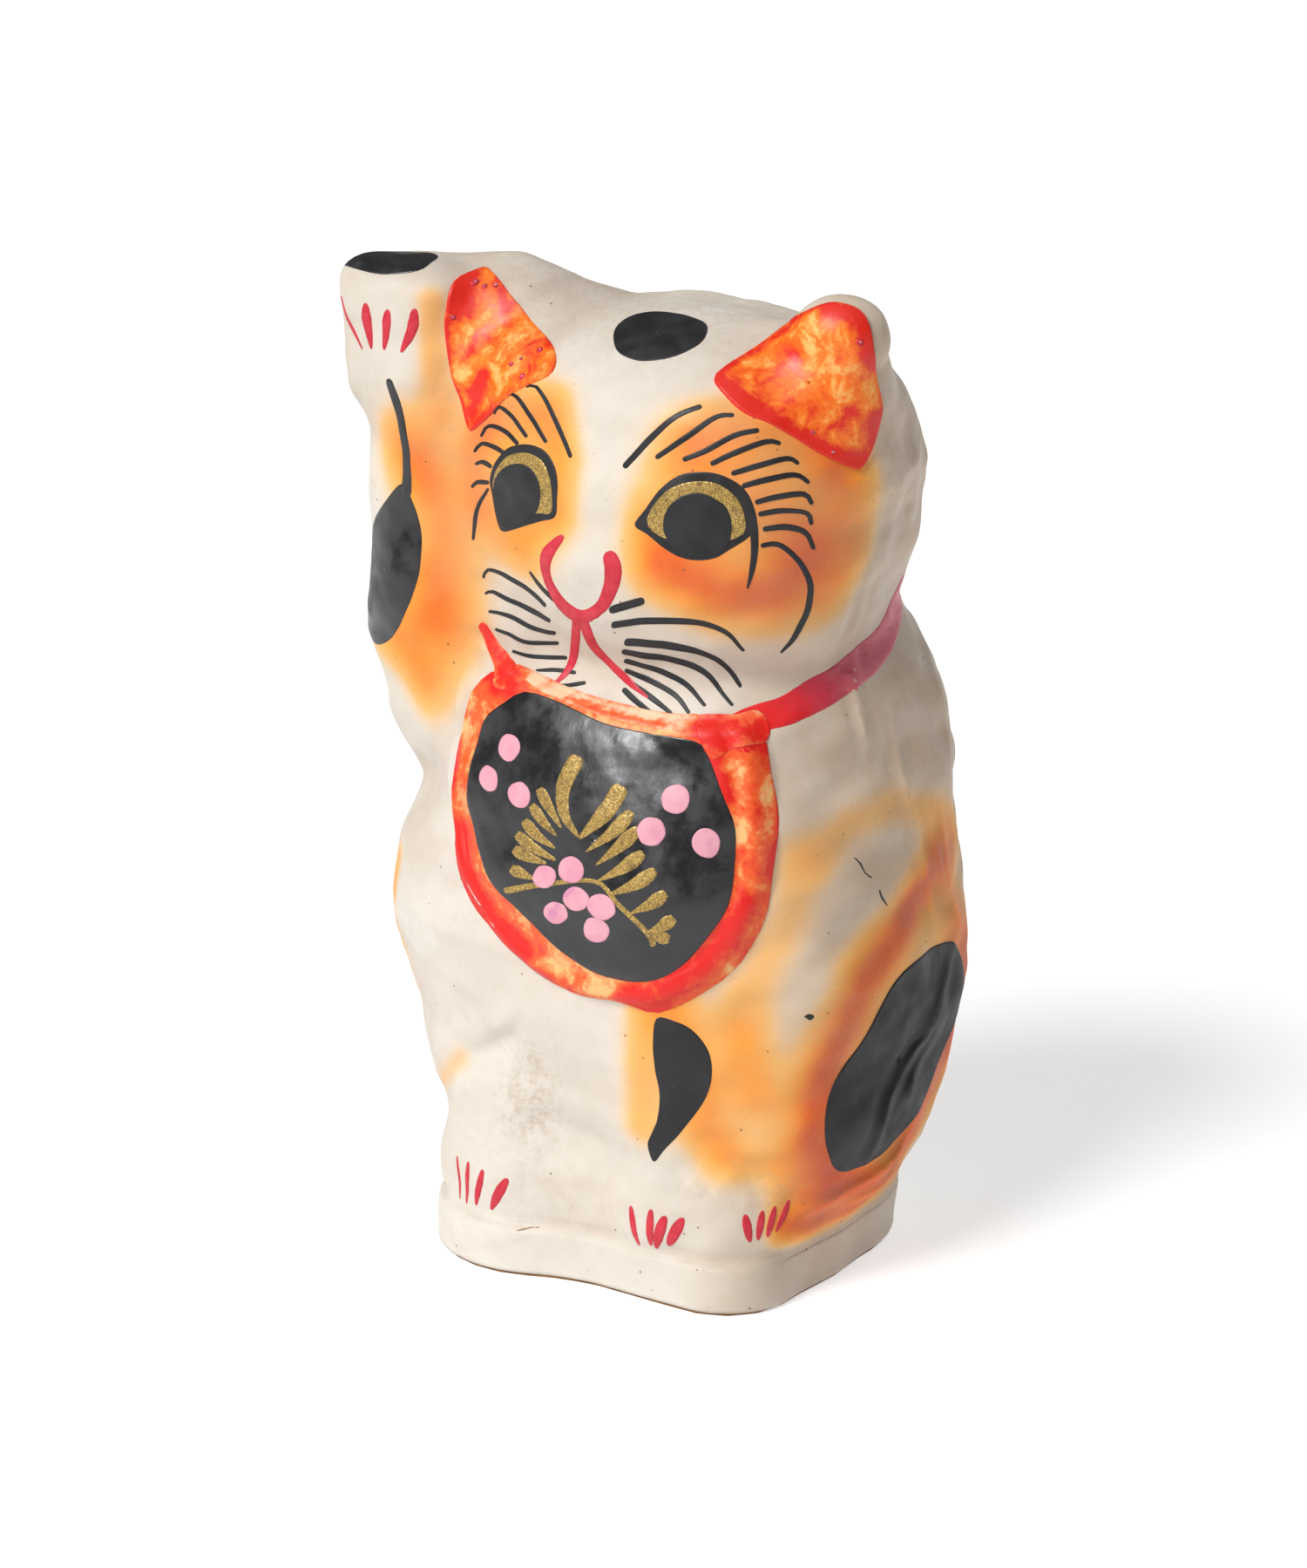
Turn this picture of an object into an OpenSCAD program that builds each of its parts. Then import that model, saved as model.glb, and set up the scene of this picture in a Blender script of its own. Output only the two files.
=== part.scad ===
// Beckoning cat figurine in moulded paper: two pasted half shells on a card floor.
// Millimetres. +Z up, the cat faces -Y, its left side is +X, the origin is on the underside.

/* [Body] */
// Half width of the sitting body
body_rx = 67; // [64:0.5:69]
// Half depth of the sitting body
body_ry = 55; // [53:0.5:56]
// Height of the body's widest level
body_z = 76; // [72:1:80]
// Height of the shoulders' centre
shoulder_z = 126; // [122:1:129]

/* [Head] */
// Half width of the head
head_rx = 51; // [49:0.5:53]
// Half depth of the head
head_ry = 44; // [42:0.5:46]
// Height of the head's widest level
head_z = 190; // [188:1:192]
// Sideways place of the head's middle, which leans away from the raised leg
head_x = 8; // [6:0.5:10]
// Height of the ear tips' centres
ear_z = 229; // [226:0.5:231]

/* [Raised leg] */
// Height of the paw's centre
paw_z = 221; // [218:0.5:223]
// Radius of the forearm
arm_r = 21; // [19:0.5:22]

/* [Bib] */
// Half width of the bib
bib_rx = 43.5; // [40:0.5:46]
// How far its border stands proud
bib_rise = 2; // [1.5:0.1:3]
// How far its field swells in the middle
bib_pillow = 4; // [2:0.1:5]

/* [Plinth] */
// Height of the plinth
plinth_h = 13; // [11:0.5:15]
// Half width of the plinth
plinth_hx = 51; // [49:0.5:52]

/* [Paper and board] */
// Wall of the moulded paper
wall = 2.2; // [1.6:0.1:3]
// Thickness of the card floor
board_t = 1.6; // [1.2:0.1:2]
// Thickness of the pasted paper band and seam strips
strip_t = 0.5; // [0.4:0.1:0.8]
// Width of the seam strips
strip_w = 18; // [14:1:22]
// Radius of the clay weight
clay_r = 31; // [26:1:32]
// Height of the clay weight
clay_h = 10; // [6:1:12]

/* [Fineness] */
// Facets across each half shell
cols = 28; // [20:2:30]
// Rings up the straight part of each half shell
rings = 40; // [30:2:44]

/* [Hidden] */
paint = "#ece2d2";
kraft = "#a9825a";
joint_y = 5;             // the two halves meet on this plane
dome_z = 184;            // above it the rings become a dome
dome_rings = 11;
band_lo = 0.8;           // the pasted band leaves this much raw board edge showing
band_hi = plinth_h - 1;
paste = 0.25;            // gap that the dried paste fills behind each inner strip
reach = 92;              // farther out than any surface

// ---- distance functions: negative inside ----
function blend(a, b, k) = let (h = max(k - abs(a - b), 0) / k) min(a, b) - h * h * k / 4;

function egg(p, c, r) =
    let (q = [(p.x - c.x) / r.x, (p.y - c.y) / r.y, (p.z - c.z) / r.z],
         k = norm(q),
         g = norm([q.x / r.x, q.y / r.y, q.z / r.z]))
    k * (k - 1) / max(g, 1e-6);

// A squarish barrel: n squares its plan, m squares its profile, and down is its radius below its middle
function barrel(p, c, r, n, m, down) =
    let (h = pow(pow(abs(p.x - c.x) / r.x, n) + pow(abs(p.y - c.y) / r.y, n), 1 / n),
         v = p.z > c.z ? (p.z - c.z) / r.z : (c.z - p.z) / down)
    (pow(pow(h, m) + pow(v, m), 1 / m) - 1) * min(r) * 0.95;

function limb(p, a, b, ra, rb) =
    let (ab = b - a, t = min(1, max(0, ((p - a) * ab) / (ab * ab))))
    norm(p - a - t * ab) - ra - (rb - ra) * t;

function round_box(x, y, hx, hy, r) =
    let (qx = abs(x) - hx + r, qy = abs(y) - hy + r)
    norm([max(qx, 0), max(qy, 0)]) + min(max(qx, qy), 0) - r;

// Plinth outline: a rounded box, a square corner under the left paws and a lobe under the right one
function outline(p) =
    let (a = round_box(p.x - 3, p.y - 2, plinth_hx, 43.5, 36),
         b = blend(a, round_box(p.x - 22, p.y + 18, 32, 27.5, 17), 4))
    blend(b, norm([p.x + 17.5, p.y + 26.5]) - 26.5, 9);

function foot(p, edge) = let (up = max(p.z - plinth_h, 0)) max(edge + 0.4 + 0.0095 * up * up, p.z - 70);

function torso(p) =
    let (a = barrel(p, [2, 6, body_z], [body_rx, body_ry, 108], 2.6, 2, 98),
         b = blend(a, egg(p, [10, 16, shoulder_z], [51, 42, 48]), 12),
         c = blend(b, egg(p, [-29, -8, 86], [37, 35, 28]), 14),
         d = blend(c, egg(p, [-24, -18, 42], [22, 22, 26]), 8),
         e = blend(d, limb(p, [28, -28, 96], [25, -31, 26], 16, 13), 10))
    blend(e, egg(p, [47, -6, 40], [18, 28, 24]), 10);

function paws(p) = min(egg(p, [25, -35, 20], [14, 13, 13]), egg(p, [-22, -36, 21], [17, 15, 13]),
                       egg(p, [44, -24, 20], [12, 14, 11]));

function tail(p) = blend(limb(p, [-10, 47, 18], [22, 52, 38], 10, 9.5),
                         limb(p, [22, 52, 38], [35, 50, 66], 9.5, 7), 5);

function raised_leg(p) =
    let (a = limb(p, [-47.5, -8, 135], [-52, -12, 158], arm_r + 5, arm_r),
         b = blend(a, limb(p, [-52, -12, 158], [-56, -14, 200], arm_r, arm_r - 3.5), 10),
         c = blend(b, barrel(p, [-60.5, -17, paw_z], [17.5, 17, 18.5], 2.8, 4, 18.5), 6))
    blend(c, barrel(p, [-33, -7, 183], [23, 21, 42], 2.5, 2.6, 42), 14);

function head(p) =
    let (a = barrel(p, [head_x, 2, head_z], [head_rx, head_ry, 43], 2.7, 2.5, 48),
         b = blend(a, limb(p, [head_x + 34, 2, 206], [head_x + 43.5, -4, ear_z], 21, 11), 10))
    blend(b, limb(p, [head_x - 35, 0, 207], [head_x - 46, -4, ear_z - 1], 21, 10), 14);

function smooth(t) = let (c = min(1, max(0, t))) c * c * (3 - 2 * c);

// How far the bib stands out below the chin: a rim, a shallow groove inside it and a pillowed field
function bib(p) =
    let (u = p.x - 9 - 0.2 * (115 - p.z),
         q = pow(pow(abs(u) / bib_rx, 2.3) + pow(abs(p.z - 123) / 47, 2.3), 1 / 2.3),
         chin = smooth((143.5 + 0.003 * pow(p.x - 25, 2) - p.z) / 3),
         front = min(1, max(0, (-p.y - 12) / 8)) * chin,
         field = max(0, 1 - pow(u / 37, 2) - pow((p.z - 113) / 31, 2)))
    front <= 0 ? 0 : front * (bib_rise * smooth((1.02 - q) / 0.06) - 0.6 * exp(-pow((q - 0.88) / 0.03, 2))
                              + bib_pillow * field);

function cat(p) =
    let (edge = outline(p),
         a = blend(torso(p), foot(p, edge), 6) - bib(p),
         b = blend(blend(a, tail(p), 3), paws(p), 5),
         c = blend(b, raised_leg(p), 8),
         d = blend(c, head(p), 4.5 + 8 * smooth((-8 - p.x) / 16)))
    blend(d, max(edge, p.z - plinth_h), 2);

// Walks along the ray from o in direction d to the surface that lies depth inside the skin
function walk(o, d, depth, t, n) =
    let (v = cat(o + t * d) + depth)
    abs(v) < 0.02 || n == 0 ? o + t * d : walk(o, d, depth, max(0, t - max(-3, min(14, v * 0.8))), n - 1);

// ---- half shells ----
// Ring heights: the floor, both edges of the pasted band, then evenly up to the dome
levels = concat([board_t, band_hi - 0.1, band_hi + 0.1],
                [for (i = [1:rings]) band_hi + 0.1 + (dome_z - band_hi - 0.1) * i / rings]);
function band_depth(z) = z < band_hi ? strip_t : 0;

// One skin of a half shell, from angle a0 over 180 degrees, with the crown point last
function skin(a0, depth) = concat(
    [for (z = levels) for (j = [0:cols]) let (a = a0 + 180 * j / cols)
        walk([0, joint_y, z], [sin(a), -cos(a), 0], depth + band_depth(z), reach, 40)],
    [for (i = [1:dome_rings - 1]) for (j = [0:cols]) let (a = a0 + 180 * j / cols, e = 90 * i / dome_rings)
        walk([0, joint_y, dome_z], [cos(e) * sin(a), -cos(e) * cos(a), sin(e)], depth, reach, 40)],
    [walk([0, joint_y, dome_z], [0, 0, 1], depth, reach, 40)]);

module half_shell(a0) {
    outer = skin(a0, 0);
    inner = skin(a0, wall);
    row = cols + 1;
    rows = len(levels) + dome_rings - 1;
    n = len(outer);
    top = n - 1;
    last = (rows - 1) * row;
    faces = concat(
        [for (i = [0:rows - 2]) for (j = [0:cols - 1]) let (k = i * row + j)
            each [[k, k + row, k + 1], [k + 1, k + row, k + row + 1]]],
        [for (j = [0:cols - 1]) [last + j, top, last + j + 1]],
        [for (i = [0:rows - 2]) for (j = [0:cols - 1]) let (k = n + i * row + j)
            each [[k, k + 1, k + row], [k + 1, k + row + 1, k + row]]],
        [for (j = [0:cols - 1]) [n + last + j, n + last + j + 1, n + top]],
        [for (j = [0:cols - 1]) each [[j, j + 1, n + j], [j + 1, n + j + 1, n + j]]],
        [for (i = [0:rows - 2]) let (k = i * row, m = k + cols)
            each [[k, n + k, k + row], [n + k, n + k + row, k + row],
                  [m, m + row, n + m], [n + m, m + row, n + m + row]]],
        [[last, n + last, top], [n + last, n + top, top],
         [last + cols, top, n + last + cols], [n + last + cols, top, n + top]]);
    polyhedron(concat(outer, inner), faces);
}

module front_shell() color(paint) half_shell(-90);
module rear_shell() color("#e6dccb") half_shell(90);

// ---- seam strips pasted inside, over the joint ----
// origins and directions hold one ray per station; across is the strip's place either side of the joint
module inner_strip(origins, directions) {
    across = [-strip_w / 2, -strip_w / 6, strip_w / 6, strip_w / 2];
    c = len(across);
    r = len(origins);
    points = [for (depth = [wall + paste, wall + paste + strip_t]) for (i = [0:r - 1]) for (s = across)
        walk(origins[i] + [0, s, 0], directions[i], depth, reach, 40)];
    n = r * c;
    faces = concat(
        [for (i = [0:r - 2]) for (j = [0:c - 2]) let (k = i * c + j)
            each [[k, k + 1, k + c], [k + 1, k + c + 1, k + c],
                  [n + k, n + k + c, n + k + 1], [n + k + 1, n + k + c, n + k + c + 1]]],
        [for (j = [0:c - 2]) let (e = (r - 1) * c + j)
            each [[j, n + j, j + 1], [j + 1, n + j, n + j + 1],
                  [e, e + 1, n + e], [e + 1, n + e + 1, n + e]]],
        [for (i = [0:r - 2]) let (k = i * c, m = k + c - 1)
            each [[k, k + c, n + k], [n + k, k + c, n + k + c],
                  [m, n + m, m + c], [n + m, n + m + c, m + c]]]);
    polyhedron(points, faces);
}

strip_z = [for (i = [0:24]) 16 + (dome_z - 17) * i / 24];
crown_a = [for (i = [0:22]) 2 + 176 * i / 22];

module side_strip(side) inner_strip([for (z = strip_z) [0, joint_y, z]], [for (z = strip_z) [side, 0, 0]]);
module seam_strip_left() color(kraft) side_strip(1);
module seam_strip_right() color(kraft) side_strip(-1);
module seam_strip_crown() color(kraft)
    inner_strip([for (a = crown_a) [0, joint_y, dome_z]], [for (a = crown_a) [-cos(a), 0, sin(a)]]);

// ---- floor, band and weight ----
function edge_point(a, depth) = let (p = walk([0, joint_y, 1], [sin(a), -cos(a), 0], depth, reach, 40)) [p.x, p.y];
module plinth_plan(depth) polygon([for (j = [0:2 * cols - 1]) edge_point(180 * j / cols, depth)]);

module base_board() color(kraft) linear_extrude(board_t) plinth_plan(strip_t + 0.05);

module base_strip() color(paint) translate([0, 0, band_lo]) linear_extrude(band_hi - band_lo)
    difference() {
        plinth_plan(0);
        plinth_plan(strip_t);
    }

module clay_weight() color("#8d7b68") translate([2, 3, board_t]) rotate_extrude($fn = 96)
    polygon([[0, 0], [clay_r, 0], [clay_r, clay_h - 4], [clay_r - 3, clay_h - 1], [clay_r - 8, clay_h],
             [0, clay_h]]);

front_shell();
rear_shell();
seam_strip_left();
seam_strip_right();
seam_strip_crown();
base_board();
base_strip();
clay_weight();
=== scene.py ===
"""Looks of the beckoning cat figurine: moulded paper under chalk ground, sprayed and brushed with paint."""

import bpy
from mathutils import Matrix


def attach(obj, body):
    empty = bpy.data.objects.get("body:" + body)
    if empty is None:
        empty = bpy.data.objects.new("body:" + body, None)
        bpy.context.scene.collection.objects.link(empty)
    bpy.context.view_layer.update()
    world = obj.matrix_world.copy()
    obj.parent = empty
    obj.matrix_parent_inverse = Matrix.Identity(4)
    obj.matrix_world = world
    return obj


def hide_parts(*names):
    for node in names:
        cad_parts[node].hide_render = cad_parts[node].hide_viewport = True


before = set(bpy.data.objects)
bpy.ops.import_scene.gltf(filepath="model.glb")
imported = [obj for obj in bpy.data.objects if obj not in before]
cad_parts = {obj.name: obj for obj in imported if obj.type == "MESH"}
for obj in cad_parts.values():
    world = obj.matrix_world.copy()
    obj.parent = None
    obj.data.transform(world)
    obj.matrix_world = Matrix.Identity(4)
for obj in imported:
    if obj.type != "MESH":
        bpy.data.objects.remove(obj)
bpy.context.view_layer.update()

import math

import bmesh
import bpy
import numpy as np
from mathutils import Matrix, Vector

MM = 0.001
SEED = 7

# ---------------------------------------------------------------- form, in millimetres
BODY_RX, BODY_RY = 67, 55        # half width and half depth of the sitting body
BODY_Z = 76                      # its widest level
SHOULDER_Z = 126
HEAD_RX, HEAD_RY = 51, 44
HEAD_Z = 190
HEAD_X = 8.0                     # the head leans away from the raised leg
EAR_Z = 229                      # centre of the left ear's tip
PAW_Z = 221                      # centre of the raised paw
ARM_R = 21                       # radius of the raised forearm
BIB_RX = 43.5
BIB_LEAN = 0.2                   # how far the bib's middle moves sideways per millimetre of fall
BIB_RISE = 2                     # how far its border stands proud
BIB_PILLOW = 4                   # how far its field swells
PLINTH_H = 13.0
PLINTH_HX = 51
JOINT_Y = 5.0                    # the two half shells meet on this plane
BAND_LOW = 0.8                   # the pasted band leaves this much raw board edge showing
BAND_TOP = PLINTH_H - 1
BAND_T = 0.5
BOARD_T = 1.6
WALL = 2.2


def blend(a, b, k):
    """Smooth union of two distance fields over a fillet of about k."""
    h = np.maximum(k - np.abs(a - b), 0) / k
    return np.minimum(a, b) - h * h * k / 4


def egg(p, centre, radii):
    q = (p - np.array(centre)) / np.array(radii)
    k = np.sqrt((q * q).sum(-1))
    g = np.sqrt(((q / np.array(radii)) ** 2).sum(-1)) + 1e-9
    return k * (k - 1) / g


def barrel(p, centre, radii, n, m, down):
    """A squarish barrel: n squares its plan, m its profile, down is its radius below its middle."""
    q = np.abs(p - np.array(centre))
    plan = ((q[..., 0] / radii[0]) ** n + (q[..., 1] / radii[1]) ** n) ** (1 / n)
    rise = p[..., 2] - centre[2]
    v = np.where(rise > 0, rise / radii[2], -rise / down)
    return ((plan ** m + v ** m) ** (1 / m) - 1) * min(radii) * 0.95


def limb(p, a, b, ra, rb):
    a, b = np.array(a, float), np.array(b, float)
    ab = b - a
    t = np.clip(((p - a) @ ab) / (ab @ ab), 0, 1)
    return np.linalg.norm(p - (a + t[..., None] * ab), axis=-1) - (ra + (rb - ra) * t)


def round_box(x, y, hx, hy, r):
    qx, qy = np.abs(x) - hx + r, np.abs(y) - hy + r
    return np.hypot(np.maximum(qx, 0), np.maximum(qy, 0)) + np.minimum(np.maximum(qx, qy), 0) - r


def smooth(t):
    t = np.clip(t, 0, 1)
    return t * t * (3 - 2 * t)


def outline(p):
    """Plinth outline: a rounded box, a square corner under the left paws, a lobe under the right one."""
    x, y = p[..., 0], p[..., 1]
    a = round_box(x - 3, y - 2, PLINTH_HX, 43.5, 36)
    a = blend(a, round_box(x - 22, y + 18, 32, 27.5, 17), 4)
    return blend(a, np.hypot(x + 17.5, y + 26.5) - 26.5, 9)


def torso(p):
    a = barrel(p, (2, 6, BODY_Z), (BODY_RX, BODY_RY, 108), 2.6, 2, 98)
    a = blend(a, egg(p, (10, 16, SHOULDER_Z), (51, 42, 48)), 12)     # shoulders
    a = blend(a, egg(p, (-29, -8, 86), (37, 35, 28)), 14)            # right flank
    a = blend(a, egg(p, (-24, -18, 42), (22, 22, 26)), 8)            # right knee
    a = blend(a, limb(p, (28, -28, 96), (25, -31, 26), 16, 13), 10)  # left foreleg
    return blend(a, egg(p, (47, -6, 40), (18, 28, 24)), 10)          # left knee


def foot(p, edge):
    up = np.maximum(p[..., 2] - PLINTH_H, 0)
    return np.maximum(edge + 0.4 + 0.0095 * up * up, p[..., 2] - 70)


def paws(p):
    a = np.minimum(egg(p, (25, -35, 20), (14, 13, 13)), egg(p, (-22, -36, 21), (17, 15, 13)))
    return np.minimum(a, egg(p, (44, -24, 20), (12, 14, 11)))


def tail(p):
    a = limb(p, (-10, 47, 18), (22, 52, 38), 10, 9.5)
    return blend(a, limb(p, (22, 52, 38), (35, 50, 66), 9.5, 7), 5)


def raised_leg(p):
    a = limb(p, (-47.5, -8, 135), (-52, -12, 158), ARM_R + 5, ARM_R)
    a = blend(a, limb(p, (-52, -12, 158), (-56, -14, 200), ARM_R, ARM_R - 3.5), 10)
    a = blend(a, barrel(p, (-60.5, -17, PAW_Z), (17.5, 17, 18.5), 2.8, 4, 18.5), 6)
    return blend(a, barrel(p, (-33, -7, 183), (23, 21, 42), 2.5, 2.6, 42), 14)


def head(p):
    a = barrel(p, (HEAD_X, 2, HEAD_Z), (HEAD_RX, HEAD_RY, 43), 2.7, 2.5, 48)
    a = blend(a, limb(p, (HEAD_X + 34, 2, 206), (HEAD_X + 43.5, -4, EAR_Z), 21, 11), 10)
    return blend(a, limb(p, (HEAD_X - 35, 0, 207), (HEAD_X - 46, -4, EAR_Z - 1), 21, 10), 14)


def bib_q(x, z):
    """1 on the bib's outer edge, less inside: a squared ellipse that leans with the pose."""
    cx = 9 + BIB_LEAN * (115 - z)
    return (np.abs((x - cx) / BIB_RX) ** 2.3 + np.abs((z - 123) / 47) ** 2.3) ** (1 / 2.3)


def bib(p):
    """How far the bib stands out: a rim, a shallow groove inside it and a pillowed field, below the chin."""
    x, z = p[..., 0], p[..., 2]
    q = bib_q(x, z)
    front = np.clip((-p[..., 1] - 12) / 8, 0, 1) * smooth((143.5 + 0.003 * (x - 25) ** 2 - z) / 3)
    field = np.maximum(1 - ((x - 9 - BIB_LEAN * (115 - z)) / 37) ** 2 - ((z - 113) / 31) ** 2, 0)
    groove = 0.6 * np.exp(-((q - 0.88) / 0.03) ** 2)
    return front * (BIB_RISE * smooth((1.02 - q) / 0.06) - groove + BIB_PILLOW * field)


def cat(p):
    """Distance to the cat's skin, negative inside."""
    edge = outline(p)
    a = blend(torso(p), foot(p, edge), 6) - bib(p)
    a = blend(blend(a, tail(p), 3), paws(p), 5)
    a = blend(a, raised_leg(p), 8)
    a = blend(a, head(p), 4.5 + 8 * smooth((-8 - p[..., 0]) / 16))
    return blend(a, np.maximum(edge, p[..., 2] - PLINTH_H), 2)


# ---------------------------------------------------------------- hand-made unevenness
SWELLS = ((46, 0.18), (30, 0.2), (19, 0.15), (11, 0.07), (6.5, 0.035))     # wave length, height


def waves():
    """Random plane waves: (wave vector, phase, height) from broad swells to small ripples."""
    rng = np.random.default_rng(SEED)
    made = []
    for length, height in SWELLS:
        for _ in range(3):
            d = rng.normal(size=3)
            made.append((d / np.linalg.norm(d) * 2 * math.pi / length, rng.uniform(0, 6.28), height))
    return made


WAVES = waves()
# Thumb dents and soft swellings: centre, radius, depth (negative stands out)
DENTS = (((-17, -47, 57), 8, 1.6), ((-30, -45, 60), 7, 1.0), ((-4, -50, 66), 9, -0.9),
    ((-1, -47, 37), 9, 1.5), ((51, -36, 32), 6, 1.5), ((57, -28, 27), 5, 1.2), ((40, -45, 35), 5, 0.7),
    ((67, 0, 40), 9, 1.0), ((66, -12, 28), 8, 1.0), ((-21, -48, 42), 10, -1.0), ((4, -46, 163), 15, -1.3),
    ((10, -44, 205), 12, 0.7), ((-75, -27, 238), 10, -1.8), ((-70, -26, 187), 16, -1.4),
    ((-70, -27, 146), 10, -2.0), ((-57, -32, 130), 9, 2.8), ((-68, -33, 215), 9, 2.0),
    ((-46, -16, 239), 8, 1.2), ((-24, 6, 234), 13, -1.3), ((-30, -50, 22), 9, 1.6),
    ((-58, -33, 78), 13, -1.2), ((3, 8, 233), 16, 0.7), ((62, -25, 74), 12, -0.8),
    ((-50, -31, 114), 9, 1.4))
# Wrinkles of pasted paper on the left, as lines on a sheet held up from 60 degrees: points, height, width
RIDGES = ((((27, 156), (25.2, 149), (25.8, 141), (27, 134)), 0.55, 1.3),
    (((35.5, 141), (36.5, 127), (40, 113), (43, 97), (48.5, 82)), 0.5, 1.4),
    (((46.5, 108), (51.5, 94), (58, 80)), 0.5, 1.3), (((50, 116), (53, 98), (57.5, 84)), 0.4, 1.2),
    (((56, 153), (53.5, 145), (55.5, 133), (58, 120)), 0.5, 1.5),
    (((44, 140), (45.5, 128), (49, 116)), 0.3, 1.6),
    (((54.5, 79), (48.6, 68), (44, 58.5), (35.5, 53.5), (30, 47), (27, 40), (23.5, 32)), 0.8, 1.3),
    (((51.5, 68), (46.5, 56), (40, 50.5), (37, 44)), 0.5, 1.3),
    (((40, 76), (37, 68), (31, 60)), 0.3, 2.0),
    (((4, 22.5), (14.8, 25), (26, 27.5), (36, 31), (43.5, 38)), 0.9, 1.6),
    (((20, 21), (30, 22), (41, 26)), 0.5, 1.4), (((22, 173), (20, 163), (16.5, 153)), 0.35, 1.6),
    (((28, 178), (27, 166), (24, 157)), 0.35, 1.6), (((33, 205), (35, 190), (33, 176)), 0.4, 2.0),
    (((41, 214), (44, 196), (43, 180)), 0.4, 2.2), (((62, 140), (64, 118), (65, 96), (63, 70)), 0.5, 1.8),
    (((57, 60), (56, 44), (50, 30)), 0.5, 1.8))
# Folds at the right knee, on a sheet held up from the front
KNEE_FOLDS = ((((-42, 43), (-31, 48.5), (-22, 53), (-14, 59), (-8, 65)), -0.9, 2.6),
    (((-25, 56), (-15, 62.5), (-8, 69)), 0.7, 2.4), (((43, 36), (48, 31), (50, 25)), 0.6, 2.0),
    (((36, 33), (40, 29)), 0.7, 1.6), (((-33, 33), (-18, 31)), 0.25, 0.7))
SIDE_ACROSS = np.array([0.5, math.sqrt(0.75)])


def line_distance(h, v, points):
    """Distance on a sheet from (h, v) to a broken line, and 0..1 along it."""
    best, along = np.full(np.shape(h), 1e9), np.zeros(np.shape(h))
    p = np.array(points, float)
    for i, (a, b) in enumerate(zip(p[:-1], p[1:])):
        d = b - a
        t = np.clip(((h - a[0]) * d[0] + (v - a[1]) * d[1]) / (d @ d), 0, 1)
        gap = np.hypot(h - a[0] - t * d[0], v - a[1] - t * d[1])
        along = np.where(gap < best, (i + t) / (len(p) - 1), along)
        best = np.minimum(best, gap)
    return best, along


def ridge_height(h, v, ridges):
    total = np.zeros(np.shape(h))
    for points, height, width in ridges:
        p = np.array(points, float)
        near = ((h > p[:, 0].min() - 6) & (h < p[:, 0].max() + 6) & (v > p[:, 1].min() - 6)
            & (v < p[:, 1].max() + 6))
        gap, along = line_distance(h[near], v[near], points)
        taper = smooth(along / 0.25) * smooth((1 - along) / 0.25)
        total[near] += height * (0.25 + 0.75 * taper) * (np.exp(-(gap / width) ** 2)
            - 0.3 * np.exp(-((gap - 2.6 * width) / width) ** 2))
    return total


def unevenness(p):
    """How far the skin lies below the plain form."""
    x, y, z = p[..., 0], p[..., 1], p[..., 2]
    d = sum(h * np.sin(p @ k + phase) for k, phase, h in WAVES)
    for centre, radius, depth in DENTS:
        d = d + depth * np.exp(-((p - np.array(centre)) ** 2).sum(-1) / radius ** 2)
    h = x * SIDE_ACROSS[0] + y * SIDE_ACROSS[1]
    d = d - ridge_height(h, z, RIDGES) * smooth((x - 25) / 15)
    d = d - ridge_height(x, z, KNEE_FOLDS) * smooth((-y - 15) / 10)
    crease = np.exp(-((z - PLINTH_H - 0.8) / 2.2) ** 2) * 0.5
    plinth = smooth((z - 9) / 6)
    return d * (0.35 + 0.65 * plinth) + crease


def skin(p):
    return cat(p) + unevenness(p)


def shell_skin(p):
    """The moulded shell lies a band's thickness in where the band is pasted over it."""
    return skin(p) + BAND_T * smooth((BAND_TOP - 0.6 - p[..., 2]) / 0.8)


def slope(field, p, h=0.2):
    """Gradient of a field by central differences."""
    g = np.empty(p.shape)
    for axis in range(3):
        step = np.zeros(3)
        step[axis] = h
        g[..., axis] = (field(p + step) - field(p - step)) / (2 * h)
    return g


def normals(field, p):
    g = slope(field, p)
    return g / (np.linalg.norm(g, axis=-1, keepdims=True) + 1e-12)


def settle(field, p, rounds=4):
    """Moves points onto the surface along the gradient."""
    for _ in range(rounds):
        g = slope(field, p, 0.4)
        step = field(p)[..., None] * g / np.maximum((g * g).sum(-1, keepdims=True), 0.09)
        p = p - np.clip(step, -1.5, 1.5)
    return p


# ---------------------------------------------------------------- surface meshing
GRID = 3.3           # coarse sampling of the field
FINE = 3             # cells per coarse step in the mesh


def sample_field(field, low, high):
    """The field on a coarse grid, refined linearly."""
    axes = [np.arange(a, b + GRID, GRID) for a, b in zip(low, high)]
    values = field(np.stack(np.meshgrid(*axes, indexing="ij"), -1))
    for axis in range(3):
        at = np.arange((values.shape[axis] - 1) * FINE + 1) / FINE
        i = np.minimum(at.astype(int), values.shape[axis] - 2)
        t = (at - i).reshape([-1 if a == axis else 1 for a in range(3)])
        values = np.take(values, i, axis) * (1 - t) + np.take(values, i + 1, axis) * t
    return values


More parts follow.
